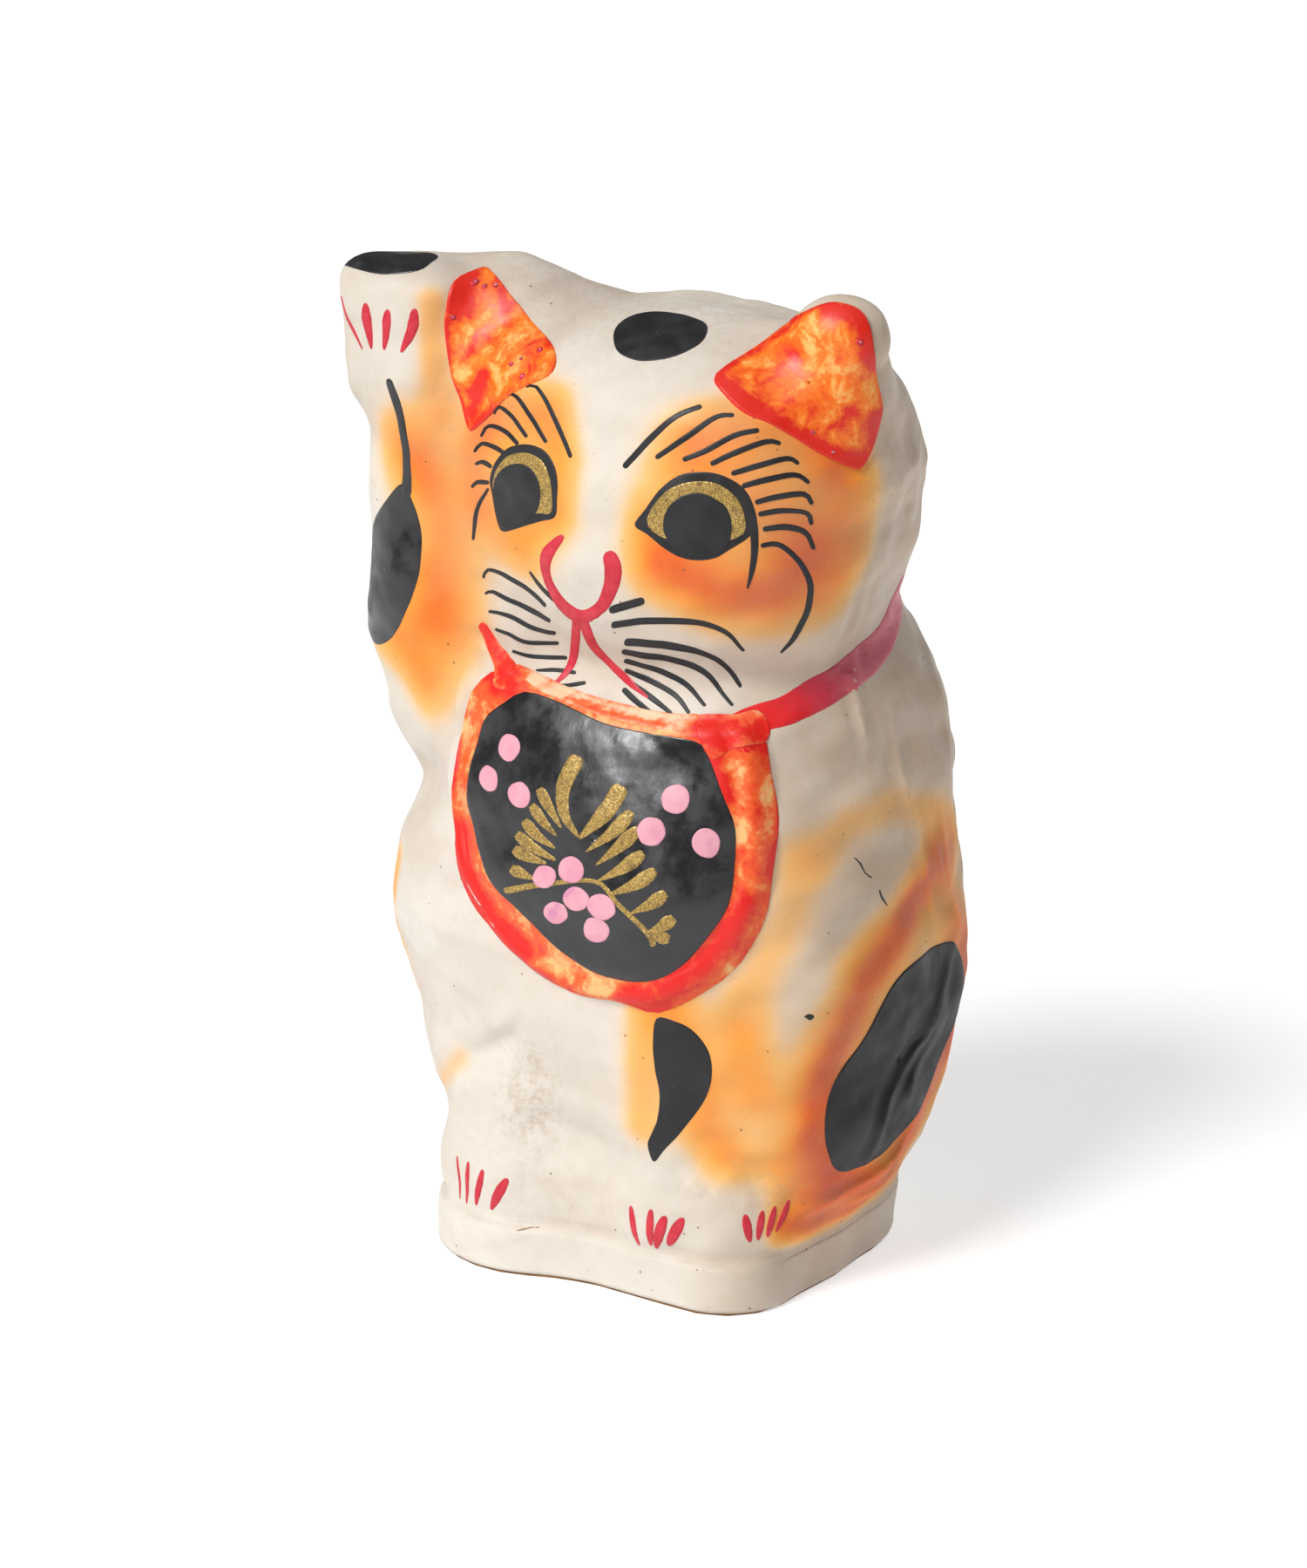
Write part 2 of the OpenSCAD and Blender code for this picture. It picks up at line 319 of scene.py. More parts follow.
def surface_net(values, low, step):
    """Quads round every grid edge that crosses the surface, one vertex in each crossed cell."""
    inside = values < 0
    n = np.array(values.shape)
    corner = [(i, j, k) for i in (0, 1) for j in (0, 1) for k in (0, 1)]
    count = sum(inside[i:n[0] - 1 + i, j:n[1] - 1 + j, k:n[2] - 1 + k].astype(np.int8) for i, j,
        k in corner)
    mixed = (count > 0) & (count < 8)
    cells = np.argwhere(mixed)
    index = np.full(mixed.shape, -1)
    index[mixed] = np.arange(len(cells))
    total, hits = np.zeros(cells.shape), np.zeros(len(cells))
    for a in corner:
        for axis in range(3):
            if a[axis]:
                continue
            b = np.array(a)
            b[axis] = 1
            va, vb = values[tuple((cells + a).T)], values[tuple((cells + b).T)]
            cross = (va < 0) != (vb < 0)
            t = va[cross] / (va[cross] - vb[cross])
            total[cross] += np.array(a) + t[:, None] * (b - np.array(a))
            hits[cross] += 1
    points = np.array(low) + (cells + total / hits[:, None]) * step
    quads = []
    for axis in range(3):
        u, v = (axis + 1) % 3, (axis + 2) % 3
        ahead = [slice(None)] * 3
        behind = [slice(None)] * 3
        ahead[axis], behind[axis] = slice(1, None), slice(None, -1)
        change = inside[tuple(behind)] != inside[tuple(ahead)]
        at = np.argwhere(change)
        keep = (at[:, u] > 0) & (at[:, v] > 0) & (at[:, u] < n[u] - 1) & (at[:, v] < n[v] - 1)
        at = at[keep]
        eu, ev = np.eye(3, dtype=int)[u], np.eye(3, dtype=int)[v]
        quad = np.stack([index[tuple((at + o).T)] for o in (-eu - ev, -ev, 0 * eu, -eu)], 1)
        out = inside[tuple(at.T)]
        quads.append(np.where(out[:, None], quad, quad[:, ::-1]))
    quads = np.concatenate(quads)
    return points, quads[(quads >= 0).all(1)]


def both_sides(rows, cols, closed, k=0):
    """Quads of a grid of points that starts at point k, and of its underside, which follows it."""
    faces, m = [], rows * cols
    for i in range(rows - 1):
        for j in range(cols if closed else cols - 1):
            a, b = k + i * cols + j, k + i * cols + (j + 1) % cols
            c, d = a + cols, b + cols
            faces += [(a, b, d, c), (m + a, m + c, m + d, m + b)]
    return faces


def mesh_object(name, points, faces, normal=None, material=None):
    """A smooth-shaded object from points in millimetres."""
    mesh = bpy.data.meshes.new(name)
    mesh.from_pydata((np.asarray(points) * MM).tolist(), [], [list(map(int, f)) for f in faces])
    mesh.update()
    mesh.shade_smooth()
    if normal is not None:
        mesh.normals_split_custom_set_from_vertices(np.asarray(normal).tolist())
    piece = bpy.data.objects.new(name, mesh)
    bpy.context.scene.collection.objects.link(piece)
    if material is not None:
        mesh.materials.append(material)
    return piece


def half_shell(name, points, quads, side, material):
    """Cuts one half off the closed skin and gives it thickness. side is -1 in front, 1 behind."""
    bm = bmesh.new()
    for p in points:
        bm.verts.new(p)
    bm.verts.ensure_lookup_table()
    near = points[quads][:, :, 1].mean(1) * side > JOINT_Y * side - 3
    for q in quads[near]:
        bm.faces.new([bm.verts[i] for i in q])
    everything = bm.verts[:] + bm.edges[:] + bm.faces[:]
    bmesh.ops.bisect_plane(bm, geom=everything, plane_co=(0, JOINT_Y, 0), plane_no=(0, side, 0),
        clear_inner=True)
    everything = bm.verts[:] + bm.edges[:] + bm.faces[:]
    bmesh.ops.bisect_plane(bm, geom=everything, plane_co=(0, 0, BOARD_T), plane_no=(0, 0, 1),
        clear_inner=True)
    bmesh.ops.delete(bm, geom=[v for v in bm.verts if not v.link_faces], context="VERTS")
    bm.verts.index_update()
    outer = np.array([v.co[:] for v in bm.verts])
    faces = [[v.index for v in f.verts] for f in bm.faces]
    rim = [[loop.vert.index, loop.link_loop_next.vert.index]
           for e in bm.edges if e.is_boundary for loop in e.link_loops]
    bm.free()
    normal = normals(shell_skin, outer)
    inner = outer - normal * WALL
    inner[np.abs(outer[:, 1] - JOINT_Y) < 1e-4, 1] = JOINT_Y
    inner[np.abs(outer[:, 2] - BOARD_T) < 1e-4, 2] = BOARD_T
    n = len(outer)
    faces = faces + [[n + i for i in reversed(f)] for f in faces] + [[b, a, n + a, n + b] for a, b in rim]
    return mesh_object(name, np.concatenate([outer, inner]), faces, np.concatenate([normal, -normal]),
        material)


# ---------------------------------------------------------------- colours
def rgb(r, g, b):
    """Screen colour 0..255 to the linear values that shaders take."""
    return tuple(((c / 255 + 0.055) / 1.055) ** 2.4 if c > 10 else c / 255 / 12.92
        for c in (r, g, b)) + (1.0,)


class Paint:
    """A material under construction: a principled shader and short calls that add nodes to it."""

    def __init__(self, name):
        self.material = bpy.data.materials.new(name)
        self.material.use_nodes = True
        self.tree = self.material.node_tree
        self.shader = next(n for n in self.tree.nodes if n.type == "BSDF_PRINCIPLED")
        self.where = self.tree.nodes.new("ShaderNodeTexCoord").outputs["Object"]

    def put(self, target, value):
        if isinstance(value, bpy.types.NodeSocket):
            self.tree.links.new(value, target)
        else:
            target.default_value = value

    def node(self, kind, out=0, settings=(), **inputs):
        made = self.tree.nodes.new(kind)
        for key, value in dict(settings).items():
            setattr(made, key, value)
        for key, value in inputs.items():
            self.put(made.inputs[int(key[1:])]
                if key[0] == "i" and key[1:].isdigit() else made.inputs[key], value)
        return made.outputs[out]

    def noise(self, size, detail=3.0, rough=0.55, stretch=None, warp=0.0):
        """Grey noise whose features are about size millimetres across."""
        where = self.where
        if stretch is not None:
            where = self.node("ShaderNodeVectorMath", settings={"operation": "MULTIPLY"}, i0=where,
                i1=stretch)
        return self.node("ShaderNodeTexNoise", Vector=where, Scale=1000.0 / size, Detail=detail,
                         Roughness=rough, Distortion=warp)

    def cells(self, size, feature="F1"):
        return self.node("ShaderNodeTexVoronoi", settings={"feature": feature}, Vector=self.where,
                         Scale=1000.0 / size)

    def math(self, operation, a, b=0.0, clamp=False):
        return self.node("ShaderNodeMath", settings={"operation": operation, "use_clamp": clamp}, i0=a,
            i1=b)

    def step(self, value, low, high, to_low=0.0, to_high=1.0):
        return self.node("ShaderNodeMapRange", settings={"interpolation_type": "SMOOTHSTEP"}, i0=value,
            i1=low, i2=high, i3=to_low, i4=to_high)

    def mix(self, share, a, b, mode="MIX"):
        return self.node("ShaderNodeMix", 2, settings={"data_type": "RGBA", "blend_type": mode}, i0=share,
            i6=a, i7=b)

    def ramp(self, value, stops):
        made = self.tree.nodes.new("ShaderNodeValToRGB")
        self.tree.links.new(value, made.inputs[0])
        bar = made.color_ramp.elements
        while len(bar) < len(stops):
            bar.new(0.5)
        for element, (at, colour) in zip(bar, stops):
            element.position = at
            element.color = colour
        return made.outputs[0]

    def mask(self, name):
        return self.node("ShaderNodeAttribute", 2, settings={"attribute_name": name})

    def bump(self, height, depth_mm, under=None):
        made = self.tree.nodes.new("ShaderNodeBump")
        made.inputs["Strength"].default_value = 1.0
        made.inputs["Distance"].default_value = depth_mm * MM
        self.tree.links.new(height, made.inputs["Height"])
        if under is not None:
            self.tree.links.new(under, made.inputs["Normal"])
        return made.outputs[0]

    def finish(self, colour, roughness, normal=None, specular=0.5, metallic=0.0, coat=0.0,
            coat_rough=0.2):
        s = self.shader.inputs
        self.put(s["Base Color"], colour)
        self.put(s["Roughness"], roughness)
        self.put(s["Metallic"], metallic)
        s["Specular IOR Level"].default_value = specular
        s["Coat Weight"].default_value = coat
        s["Coat Roughness"].default_value = coat_rough
        if normal is not None:
            self.put(s["Normal"], normal)
        return self.material


def ground_bump(m, depth=0.05):
    """Brushed chalk: fine paper tooth, brush drag and a few pits."""
    tooth = m.noise(0.9, 4, 0.6)
    drag = m.noise(2.4, 3, 0.5, stretch=(1.0, 1.0, 0.25))
    pits = m.step(m.cells(5.5), 0.0, 0.09, -1.0, 0.0)
    height = m.math("ADD", m.math("MULTIPLY", tooth, 0.35), m.math("MULTIPLY", drag, 0.8))
    return m.bump(m.math("ADD", height, m.math("MULTIPLY", pits, 0.8)), depth)


def cream_ground(m):
    """Chalk ground, yellowed in patches, with painted shade toward the cat's left, the side the key light
    misses.
    """
    cream = m.mix(m.step(m.noise(38, 3, 0.6), 0.35, 0.65), rgb(215, 208, 197), rgb(208, 199, 186))
    cream = m.mix(m.step(m.noise(5, 4, 0.65), 0.42, 0.75, 0.0, 0.35), cream, rgb(200, 188, 172))
    side = m.node("ShaderNodeSeparateXYZ", 0, Vector=m.where)
    # Painted shade: the ground darkens toward the cat's left, the side turned away from the key light.
    dark = m.math("MULTIPLY", m.step(side, 0.030, 0.062), m.step(m.noise(12, 3), 0.2, 0.7, 0.35, 0.75))
    return m.mix(dark, cream, rgb(186, 162, 137))


def airbrushed(m, ground):
    """Orange over the ground, deeper where more was sprayed."""
    grain = m.math("MULTIPLY", m.math("SUBTRACT", m.noise(0.7, 2, 0.7), 0.5), 0.16)
    cloud = m.math("MULTIPLY", m.math("SUBTRACT", m.noise(9, 3, 0.6), 0.5), 0.22)
    varied = m.math("MULTIPLY", m.mask("spray"), m.math("ADD", m.math("ADD", grain, cloud), 1.0),
        clamp=True)
    dye = m.ramp(varied, ((0.0, rgb(222, 205, 182)), (0.15, rgb(228, 192, 146)),
        (0.35, rgb(232, 174, 100)), (0.55, rgb(236, 154, 62)), (0.7, rgb(234, 132, 40)),
        (0.85, rgb(222, 98, 20)), (1.0, rgb(204, 68, 10))))
    return m.mix(m.step(varied, 0.0, 0.34), ground, dye)


def dirt_shade_and_pinholes(m, colour):
    """Dirt from hands and painted shade on the crown and the cat's left side, painted shade in creases,
    brown pinholes and dust.
    """
    # Painted shade on the crown and the cat's left side, with dirt and painted shade low between the paws
    # and in the recesses.
    grime_and_shade = m.math("MULTIPLY", m.mask("grime_and_shade"), m.step(m.noise(2.2, 4, 0.7), 0.38, 0.72), clamp=True)
    colour = m.mix(m.math("MULTIPLY", grime_and_shade, 0.55), colour, rgb(160, 126, 92))
    # Painted shade: the creases are painted darker.
    shade = m.math("MULTIPLY", m.mask("crease"), 0.35, clamp=True)
    colour = m.mix(shade, colour, rgb(170, 140, 116))
    holes = m.step(m.cells(5.2), 0.045, 0.075, 1.0, 0.0)
    speck = m.math("MULTIPLY", holes, m.step(m.noise(24, 2), 0.44, 0.5))
    colour = m.mix(m.math("MULTIPLY", speck, 0.8), colour, rgb(120, 78, 50))
    dots = m.step(m.cells(2.2), 0.06, 0.11, 1.0, 0.0)
    dust = m.math("MULTIPLY", dots, m.step(m.noise(12, 2), 0.46, 0.62))
    return m.mix(m.math("MULTIPLY", dust, 0.5), colour, rgb(150, 116, 84))


def painted_skin():
    """Cream chalk ground with sprayed orange, handling dirt, painted shade on the crown, the cat's left side
    and in creases, and brown pinholes.
    """
    m = Paint("chalk_ground_sprayed")
    colour = dirt_shade_and_pinholes(m, airbrushed(m, cream_ground(m)))
    rough = m.step(m.noise(14, 3), 0.3, 0.7, 0.5, 0.66)
    return m.finish(colour, rough, ground_bump(m), specular=0.4)


def black_paint(name, gloss, haze, spec):
    """Glue-bound black, soft grey where it is rubbed; haze clouds its shine."""
    m = Paint(name)
    cloud = m.noise(7, 4, 0.6)
    colour = m.mix(m.step(cloud, 0.35, 0.75), rgb(30, 30, 32), rgb(42, 42, 45))
    colour = m.mix(m.step(m.noise(0.8, 3, 0.7), 0.62, 0.8, 0.0, 0.35), colour, rgb(66, 64, 64))
    pin = m.step(m.cells(6.0), 0.03, 0.05, 0.7, 0.0)
    colour = m.mix(pin, colour, rgb(20, 20, 20))
    rough = m.step(cloud, 0.3, 0.7, gloss, gloss + haze)
    brush = m.noise(1.6, 3, 0.5, stretch=(1.0, 1.0, 0.3))
    swell = m.noise(11, 2, 0.5)
    height = m.math("ADD", m.math("MULTIPLY", brush, 0.3), m.math("MULTIPLY", swell, 2.2))
    return m.finish(colour, rough, m.bump(height, 0.22), specular=spec)


def watery_paint(name, dark, mid, pale, size, shift=0.0, stretch=None):
    """Thin dye that pooled and dried: it runs from a strong red through orange to the ground under it."""
    m = Paint(name)
    cloud = m.noise(size, 5, 0.62, stretch=stretch, warp=0.6)
    fine = m.noise(size * 0.2, 4, 0.6, stretch=stretch)
    depth = m.math("ADD", m.math("MULTIPLY", cloud, 0.75), m.math("MULTIPLY", fine, 0.25))
    depth = m.math("ADD", depth, m.math("ADD", m.math("MULTIPLY", m.mask("edge"), 0.05), shift))
    depth = m.math("ADD", depth, m.math("MULTIPLY", m.mask("pool"), 0.34))
    colour = m.ramp(depth, ((0.40, pale), (0.52, mid), (0.61, halfway(mid, dark)), (0.7, dark)))
    rough = m.step(cloud, 0.3, 0.7, 0.6, 0.38)
    return m.finish(colour, rough, ground_bump(m, 0.06), specular=0.45)


def halfway(a, b):
    return tuple((x + y) / 2 for x, y in zip(a, b))


def crimson_paint():
    m = Paint("crimson_paint")
    colour = m.mix(m.step(m.noise(3.2, 4, 0.6), 0.35, 0.7), rgb(188, 26, 46), rgb(204, 48, 64))
    colour = m.mix(m.math("MULTIPLY", m.mask("edge"), 0.35), colour, rgb(164, 16, 36))
    return m.finish(colour, m.step(m.noise(2, 2), 0.3, 0.7, 0.42, 0.6), ground_bump(m), specular=0.45)


def collar_paint():
    """Bright red at the front, faded to dusty rose toward the side and back."""
    m = Paint("collar_paint")
    away = m.node("ShaderNodeSeparateXYZ", 1, Vector=m.where)
    fade = m.math("ADD", m.step(away, -0.034, 0.006), m.math("MULTIPLY", m.noise(7, 4, 0.6), 0.5))
    colour = m.ramp(m.math("SUBTRACT", fade, 0.25, clamp=True),
        ((0.0, rgb(222, 20, 16)), (0.3, rgb(200, 30, 38)), (0.6, rgb(186, 54, 72)),
        (1.0, rgb(200, 104, 116))))
    streak = m.step(m.noise(3, 4, 0.6, stretch=(0.4, 0.4, 1.5)), 0.5, 0.75, 0.0, 0.5)
    colour = m.mix(streak, colour, rgb(150, 30, 48))
    return m.finish(colour, m.step(m.noise(4, 3), 0.3, 0.7, 0.4, 0.58), ground_bump(m, 0.07),
        specular=0.45)


def gold_paint():
    """Bronze powder in glue: bright flecks over a dull ground, thin enough in places to see through."""
    m = Paint("gold_paint")
    flecks = m.cells(0.45)
    colour = m.mix(m.step(flecks, 0.2, 0.6), rgb(206, 172, 96), rgb(150, 120, 60))
    thin = m.step(m.noise(1.7, 4, 0.65, stretch=(1.0, 1.0, 0.6)), 0.5, 0.72, 0.0, 0.8)
    colour = m.mix(thin, colour, rgb(92, 76, 44))
    height = m.math("ADD", flecks, m.noise(0.8, 3))
    return m.finish(colour, m.step(flecks, 0.1, 0.6, 0.32, 0.55), m.bump(height, 0.05), metallic=0.3)


def pink_paint():
    m = Paint("pink_paint")
    colour = m.mix(m.step(m.noise(5, 4, 0.6), 0.35, 0.7), rgb(222, 160, 172), rgb(214, 144, 162))
    colour = m.mix(m.math("MULTIPLY", m.mask("edge"), 0.3), colour, rgb(206, 124, 150))
    colour = m.mix(m.step(m.noise(11, 2), 0.58, 0.66, 0.0, 0.55), colour, rgb(198, 116, 162))
    return m.finish(colour, 0.5, ground_bump(m, 0.05), specular=0.4)


def raw_card():
    """Brown board: plies along the cut edge, fibres and paste stains."""
    m = Paint("raw_card")
    plies = m.noise(0.7, 3, 0.6, stretch=(0.12, 0.12, 4.0))
    colour = m.mix(m.step(plies, 0.35, 0.65), rgb(148, 108, 68), rgb(108, 74, 44))
    colour = m.mix(m.step(m.noise(9, 4, 0.6), 0.45, 0.7, 0.0, 0.5), colour, rgb(170, 134, 92))
    height = m.math("ADD", plies, m.noise(0.5, 4, 0.7))
    return m.finish(colour, 0.85, m.bump(height, 0.12), specular=0.2)


def raw_paper():
    m = Paint("raw_pasted_paper")
    fibre = m.noise(1.4, 4, 0.65, stretch=(1.0, 1.0, 0.25))
    colour = m.mix(m.step(fibre, 0.35, 0.65), rgb(176, 142, 100), rgb(148, 112, 74))
    colour = m.mix(m.step(m.noise(18, 3), 0.5, 0.7, 0.0, 0.5), colour, rgb(120, 90, 60))
    return m.finish(colour, 0.85, m.bump(fibre, 0.15), specular=0.2)


def dried_clay():
    m = Paint("dried_clay")
    crack = m.cells(1000 / 70, "DISTANCE_TO_EDGE")
    colour = m.mix(m.step(m.noise(6, 5, 0.6), 0.3, 0.7), rgb(150, 130, 108), rgb(126, 104, 84))
    line = m.step(crack, 0.01, 0.04, 1.0, 0.0)
    colour = m.mix(m.math("MULTIPLY", line, 0.7), colour, rgb(70, 54, 42))
    height = m.math("SUBTRACT", m.noise(2.5, 5, 0.65), line)
    return m.finish(colour, 0.9, m.bump(height, 0.4), specular=0.2)


# ---------------------------------------------------------------- masks on the shells
# Sprayed orange, as passes of the airbrush: points along the pass, radius, strength
SPRAY = ((((34, -38, 201), (46, -31, 195), (54, -24, 188)), 14, 0.5),
    (((-27, -35, 205), (-18, -38, 199), (-12, -40, 188)), 12, 0.45),
    (((29, -40, 181), (40, -36, 175), (50, -28, 175), (55, -22, 183)), 11, 0.85),
    (((55, -15, 173), (58, -10, 185), (59, -12, 198), (57, -15, 206)), 8, 0.5),
    (((33, -36, 210), (42, -29, 213), (52, -20, 210), (57, -16, 202)), 8, 0.6),
    (((24, -41, 191), (27, -41, 183)), 6, 0.35), (((36, -34, 196), (44, -30, 200)), 12, 0.3),
    (((-6, -38, 211), (-2, -42, 202), (-3, -42, 190)), 7, 0.55),
    (((-25, -34, 211), (-13, -38, 211)), 9, 0.5), (((-26, -36, 184), (-13, -40, 180)), 9, 0.5),
    (((-31, -34, 203), (-32, -35, 188)), 7, 0.55),
    (((-48, -32, 194), (-42, -33, 176), (-42, -34, 158)), 13, 0.65),
    (((-54, -32, 199), (-50, -32, 191)), 7, 0.4),
    (((-60, -30, 152), (-55, -34, 148), (-48, -34, 141)), 11, 0.62),
    (((-47, -34, 165), (-44, -34, 156)), 9, 0.35),
    (((-47, -30, 232), (-46, -31, 221), (-44, -32, 207)), 4.5, 0.4),
    (((34, -48, 76), (39, -44, 60), (40, -42, 48), (44, -39, 40)), 8, 0.6),
    (((49, -40, 71), (51, -36, 55)), 8, 0.55), (((28, -50, 78), (26, -48, 60), (26, -47, 46)), 6.5, 0.4),
    (((50, -38, 82), (57, -31, 100), (56, -27, 112)), 8, 0.32),
    (((66, 17, 101), (67, 2, 92), (66, -16, 81), (62, -24, 62), (61, -27, 45), (63, -20, 32)), 8.5, 0.95),
    (((62, -18, 27), (64, -1, 26), (65, 13, 35), (65, 28, 56), (64, 34, 74)), 10, 0.92),
    (((68, 0, 62), (68, 20, 70)), 15, 0.7), (((55, -30, 21), (58, -16, 18), (58, 5, 18), (54, 27, 17)), 5,
    0.8), (((59, -23, 112), (61, -14, 118), (64, -1, 120), (66, 19, 114), (60, 38, 102)), 6, 0.33),
    (((65, 25, 101), (66, 27, 85)), 9, 0.6), (((56, -32, 37), (59, -25, 28)), 8, 0.45),
    (((-58, -36, 93), (-60, -34, 71), (-56, -32, 55)), 5, 0.5),
    (((-41, -37, 39), (-31, -44, 49)), 4, 0.25), (((-46, 34, 112), (-34, 44, 96)), 20, 0.75),
    (((8, 60, 40), (28, 60, 62)), 13, 0.5), (((-62, 14, 66), (-56, 20, 44)), 13, 0.45),
    (((16, 40, 212), (30, 38, 198)), 13, 0.5))
# Dirt and painted shade as soft spots: centre, radii, strength. The spots on the crown and the cat's left
# side are painted shade; those low in front and in the groove by the raised leg are dirt and painted shade
# in recesses.
GRIME_AND_SHADE = (((-8, -46, 42), (9, 12, 12), 0.9), ((-6, -48, 54), (7, 9, 8), 0.6),
    ((-42, -28, 205), (5, 12, 22), 0.45), ((10, -42, 228), (60, 40, 8), 0.25),
    ((2, -47, 22), (30, 10, 6), 0.3), ((50, -30, 30), (12, 12, 9), 0.5),
    ((60, 4, 150), (12, 26, 14), 0.35), ((-70, -18, 214), (10, 18, 10), 0.3),
    ((12, 8, 238), (60, 40, 12), 0.5), ((61, 6, 205), (12, 34, 30), 0.45),
    ((64, 6, 120), (12, 36, 40), 0.35), ((-24, 0, 238), (16, 20, 10), 0.4))


def blobs(p, spots):
    """Soft spots that add up like ink: 1 minus the share each leaves clear."""
    clear = np.ones(len(p))
    for centre, radii, strength in spots:
        q = (((p - np.array(centre)) / np.array(radii)) ** 2).sum(-1)
        clear *= 1 - strength * np.exp(-q)
    return 1 - clear


def passes(p, sprayed):
    """The same along lines, as an airbrush lays it."""
    clear = np.ones(len(p))
    for line, radius, strength in sprayed:
        gap = np.full(len(p), 1e9)
        for a, b in zip(np.array(line, float)[:-1], np.array(line, float)[1:]):
            t = np.clip(((p - a) @ (b - a)) / ((b - a) @ (b - a)), 0, 1)
            gap = np.minimum(gap, ((p - a - t[:, None] * (b - a)) ** 2).sum(-1))
        clear *= 1 - strength * np.exp(-gap / radius ** 2)
    return 1 - clear


def point_mask(piece, name, values):
    attribute = piece.data.attributes.new(name, "FLOAT", "POINT")
    attribute.data.foreach_set("value", np.asarray(values, np.float32))


def mark_shell(piece):
    """Stores where a piece of the ground is sprayed, where it gets dirt and painted shade, and how deep it
    lies in a crease, which is painted as shade.
    """
    p = np.empty(len(piece.data.vertices) * 3, np.float32)
    piece.data.vertices.foreach_get("co", p)
    p = p.reshape(-1, 3).astype(float) / MM
    point_mask(piece, "spray", passes(p, SPRAY) * smooth((p[:, 2] - 10) / 6))
    point_mask(piece, "grime_and_shade", blobs(p, GRIME_AND_SHADE))
    n = normals(shell_skin, p)
    sunk = shell_skin(p + n * 2.5) - 2.5 * 0.97          # less room outside than on a flat: a crease
    # Deep in a crease the ground is painted darker: painted shade.
    point_mask(piece, "crease", np.clip(-sunk * 1.2, 0, 1))


# ---------------------------------------------------------------- paint films
SHEET_AWAY = 205.0   # a stencil's sheet starts this far in front of the origin
SHEET_PAST = 150     # and its points go no further than this behind it


class Stencil:
    """A flat sheet of coordinates (h, v) in millimetres, held up to the cat from a direction."""

    def __init__(self, azimuth=0, elevation=0):
        a, e = math.radians(azimuth), math.radians(elevation)
        self.right = np.array([math.cos(a), math.sin(a), 0])
        self.ahead = np.array([-math.sin(a) * math.cos(e), math.cos(a) * math.cos(e), -math.sin(e)])
        self.up = np.cross(self.right, self.ahead)

    def onto_skin(self, hv):
        """Points of the sheet carried straight ahead to the skin, or to where they pass nearest to it."""
        start = hv[..., :1] * self.right + hv[..., 1:] * self.up
        t = np.full(hv.shape[:-1], -SHEET_AWAY)
        best, best_t = np.full(t.shape, 1e9), t.copy()
        for _ in range(44):
            d = cat(start + t[..., None] * self.ahead)
            nearer = np.abs(d) < best
            best, best_t = np.where(nearer, np.abs(d), best), np.where(nearer, t, best_t)
            t = np.minimum(t + np.clip(d * 0.85, -2, 25), SHEET_PAST)
        return settle(skin, start + best_t[..., None] * self.ahead, 3)


FRONT = Stencil()
UNDER = 0.3          # how far a film's underside lies in the paper
SUNK_RIM = 0.08      # how far its outline dips into the paper
# How far each film's face stands above the skin: what overlaps lies higher
LIFT = {"eye_outlines": 0.10, "eye_gold": 0.20, "eye_pupils": 0.30, "eye_tails": 0.14, "lashes": 0.12,
    "whiskers": 0.12, "nose_and_mouth": 0.13, "claw_marks": 0.13, "black_spots": 0.12,
    "black_hip_spot": 0.3, "ground_cracks": 0.07, "paper_band_end": 0.12, "raised_leg_marks": 0.14,
    "ear_paint_left": 0.75, "ear_paint_right": 0.6, "ear_bubble_rings": 0.86, "ear_bubble_dots": 0.98,
    "bib_border_paint": 0.27, "bib_field_paint": 0.36, "bib_blossom_dots": 0.5, "bib_gold_leaves": 0.42,
    "collar_paint": 0.18, "collar_chin_paint": 0.4}


def curve(points, closed=False, spacing=0.9):
    """A smooth line through given points."""
    p = np.array(points, float)
    n = len(p)
    if n == 2:
        steps = max(3, int(np.linalg.norm(p[1] - p[0]) / spacing))
        return p[0] + (p[1] - p[0]) * np.linspace(0, 1, steps + 1)[:, None]
    spans = n if closed else n - 1
    out = []
    for i in range(spans):
        if closed:
            a, b, c, d = (p[(i + k) % n] for k in (-1, 0, 1, 2))
        else:
            b, c = p[i], p[i + 1]
            a = p[i - 1] if i else 2 * b - c
            d = p[i + 2] if i + 2 < n else 2 * c - b
        steps = max(2, int(np.linalg.norm(c - b) / spacing))
        t = np.arange(steps)[:, None] / steps
        out.append(0.5 * (2 * b + (c - a) * t + (2 * a - 5 * b + 4 * c - d) * t ** 2
                          + (3 * b - a - 3 * c + d) * t ** 3))
    if not closed:
        out.append(p[-1:])
    return np.concatenate(out)


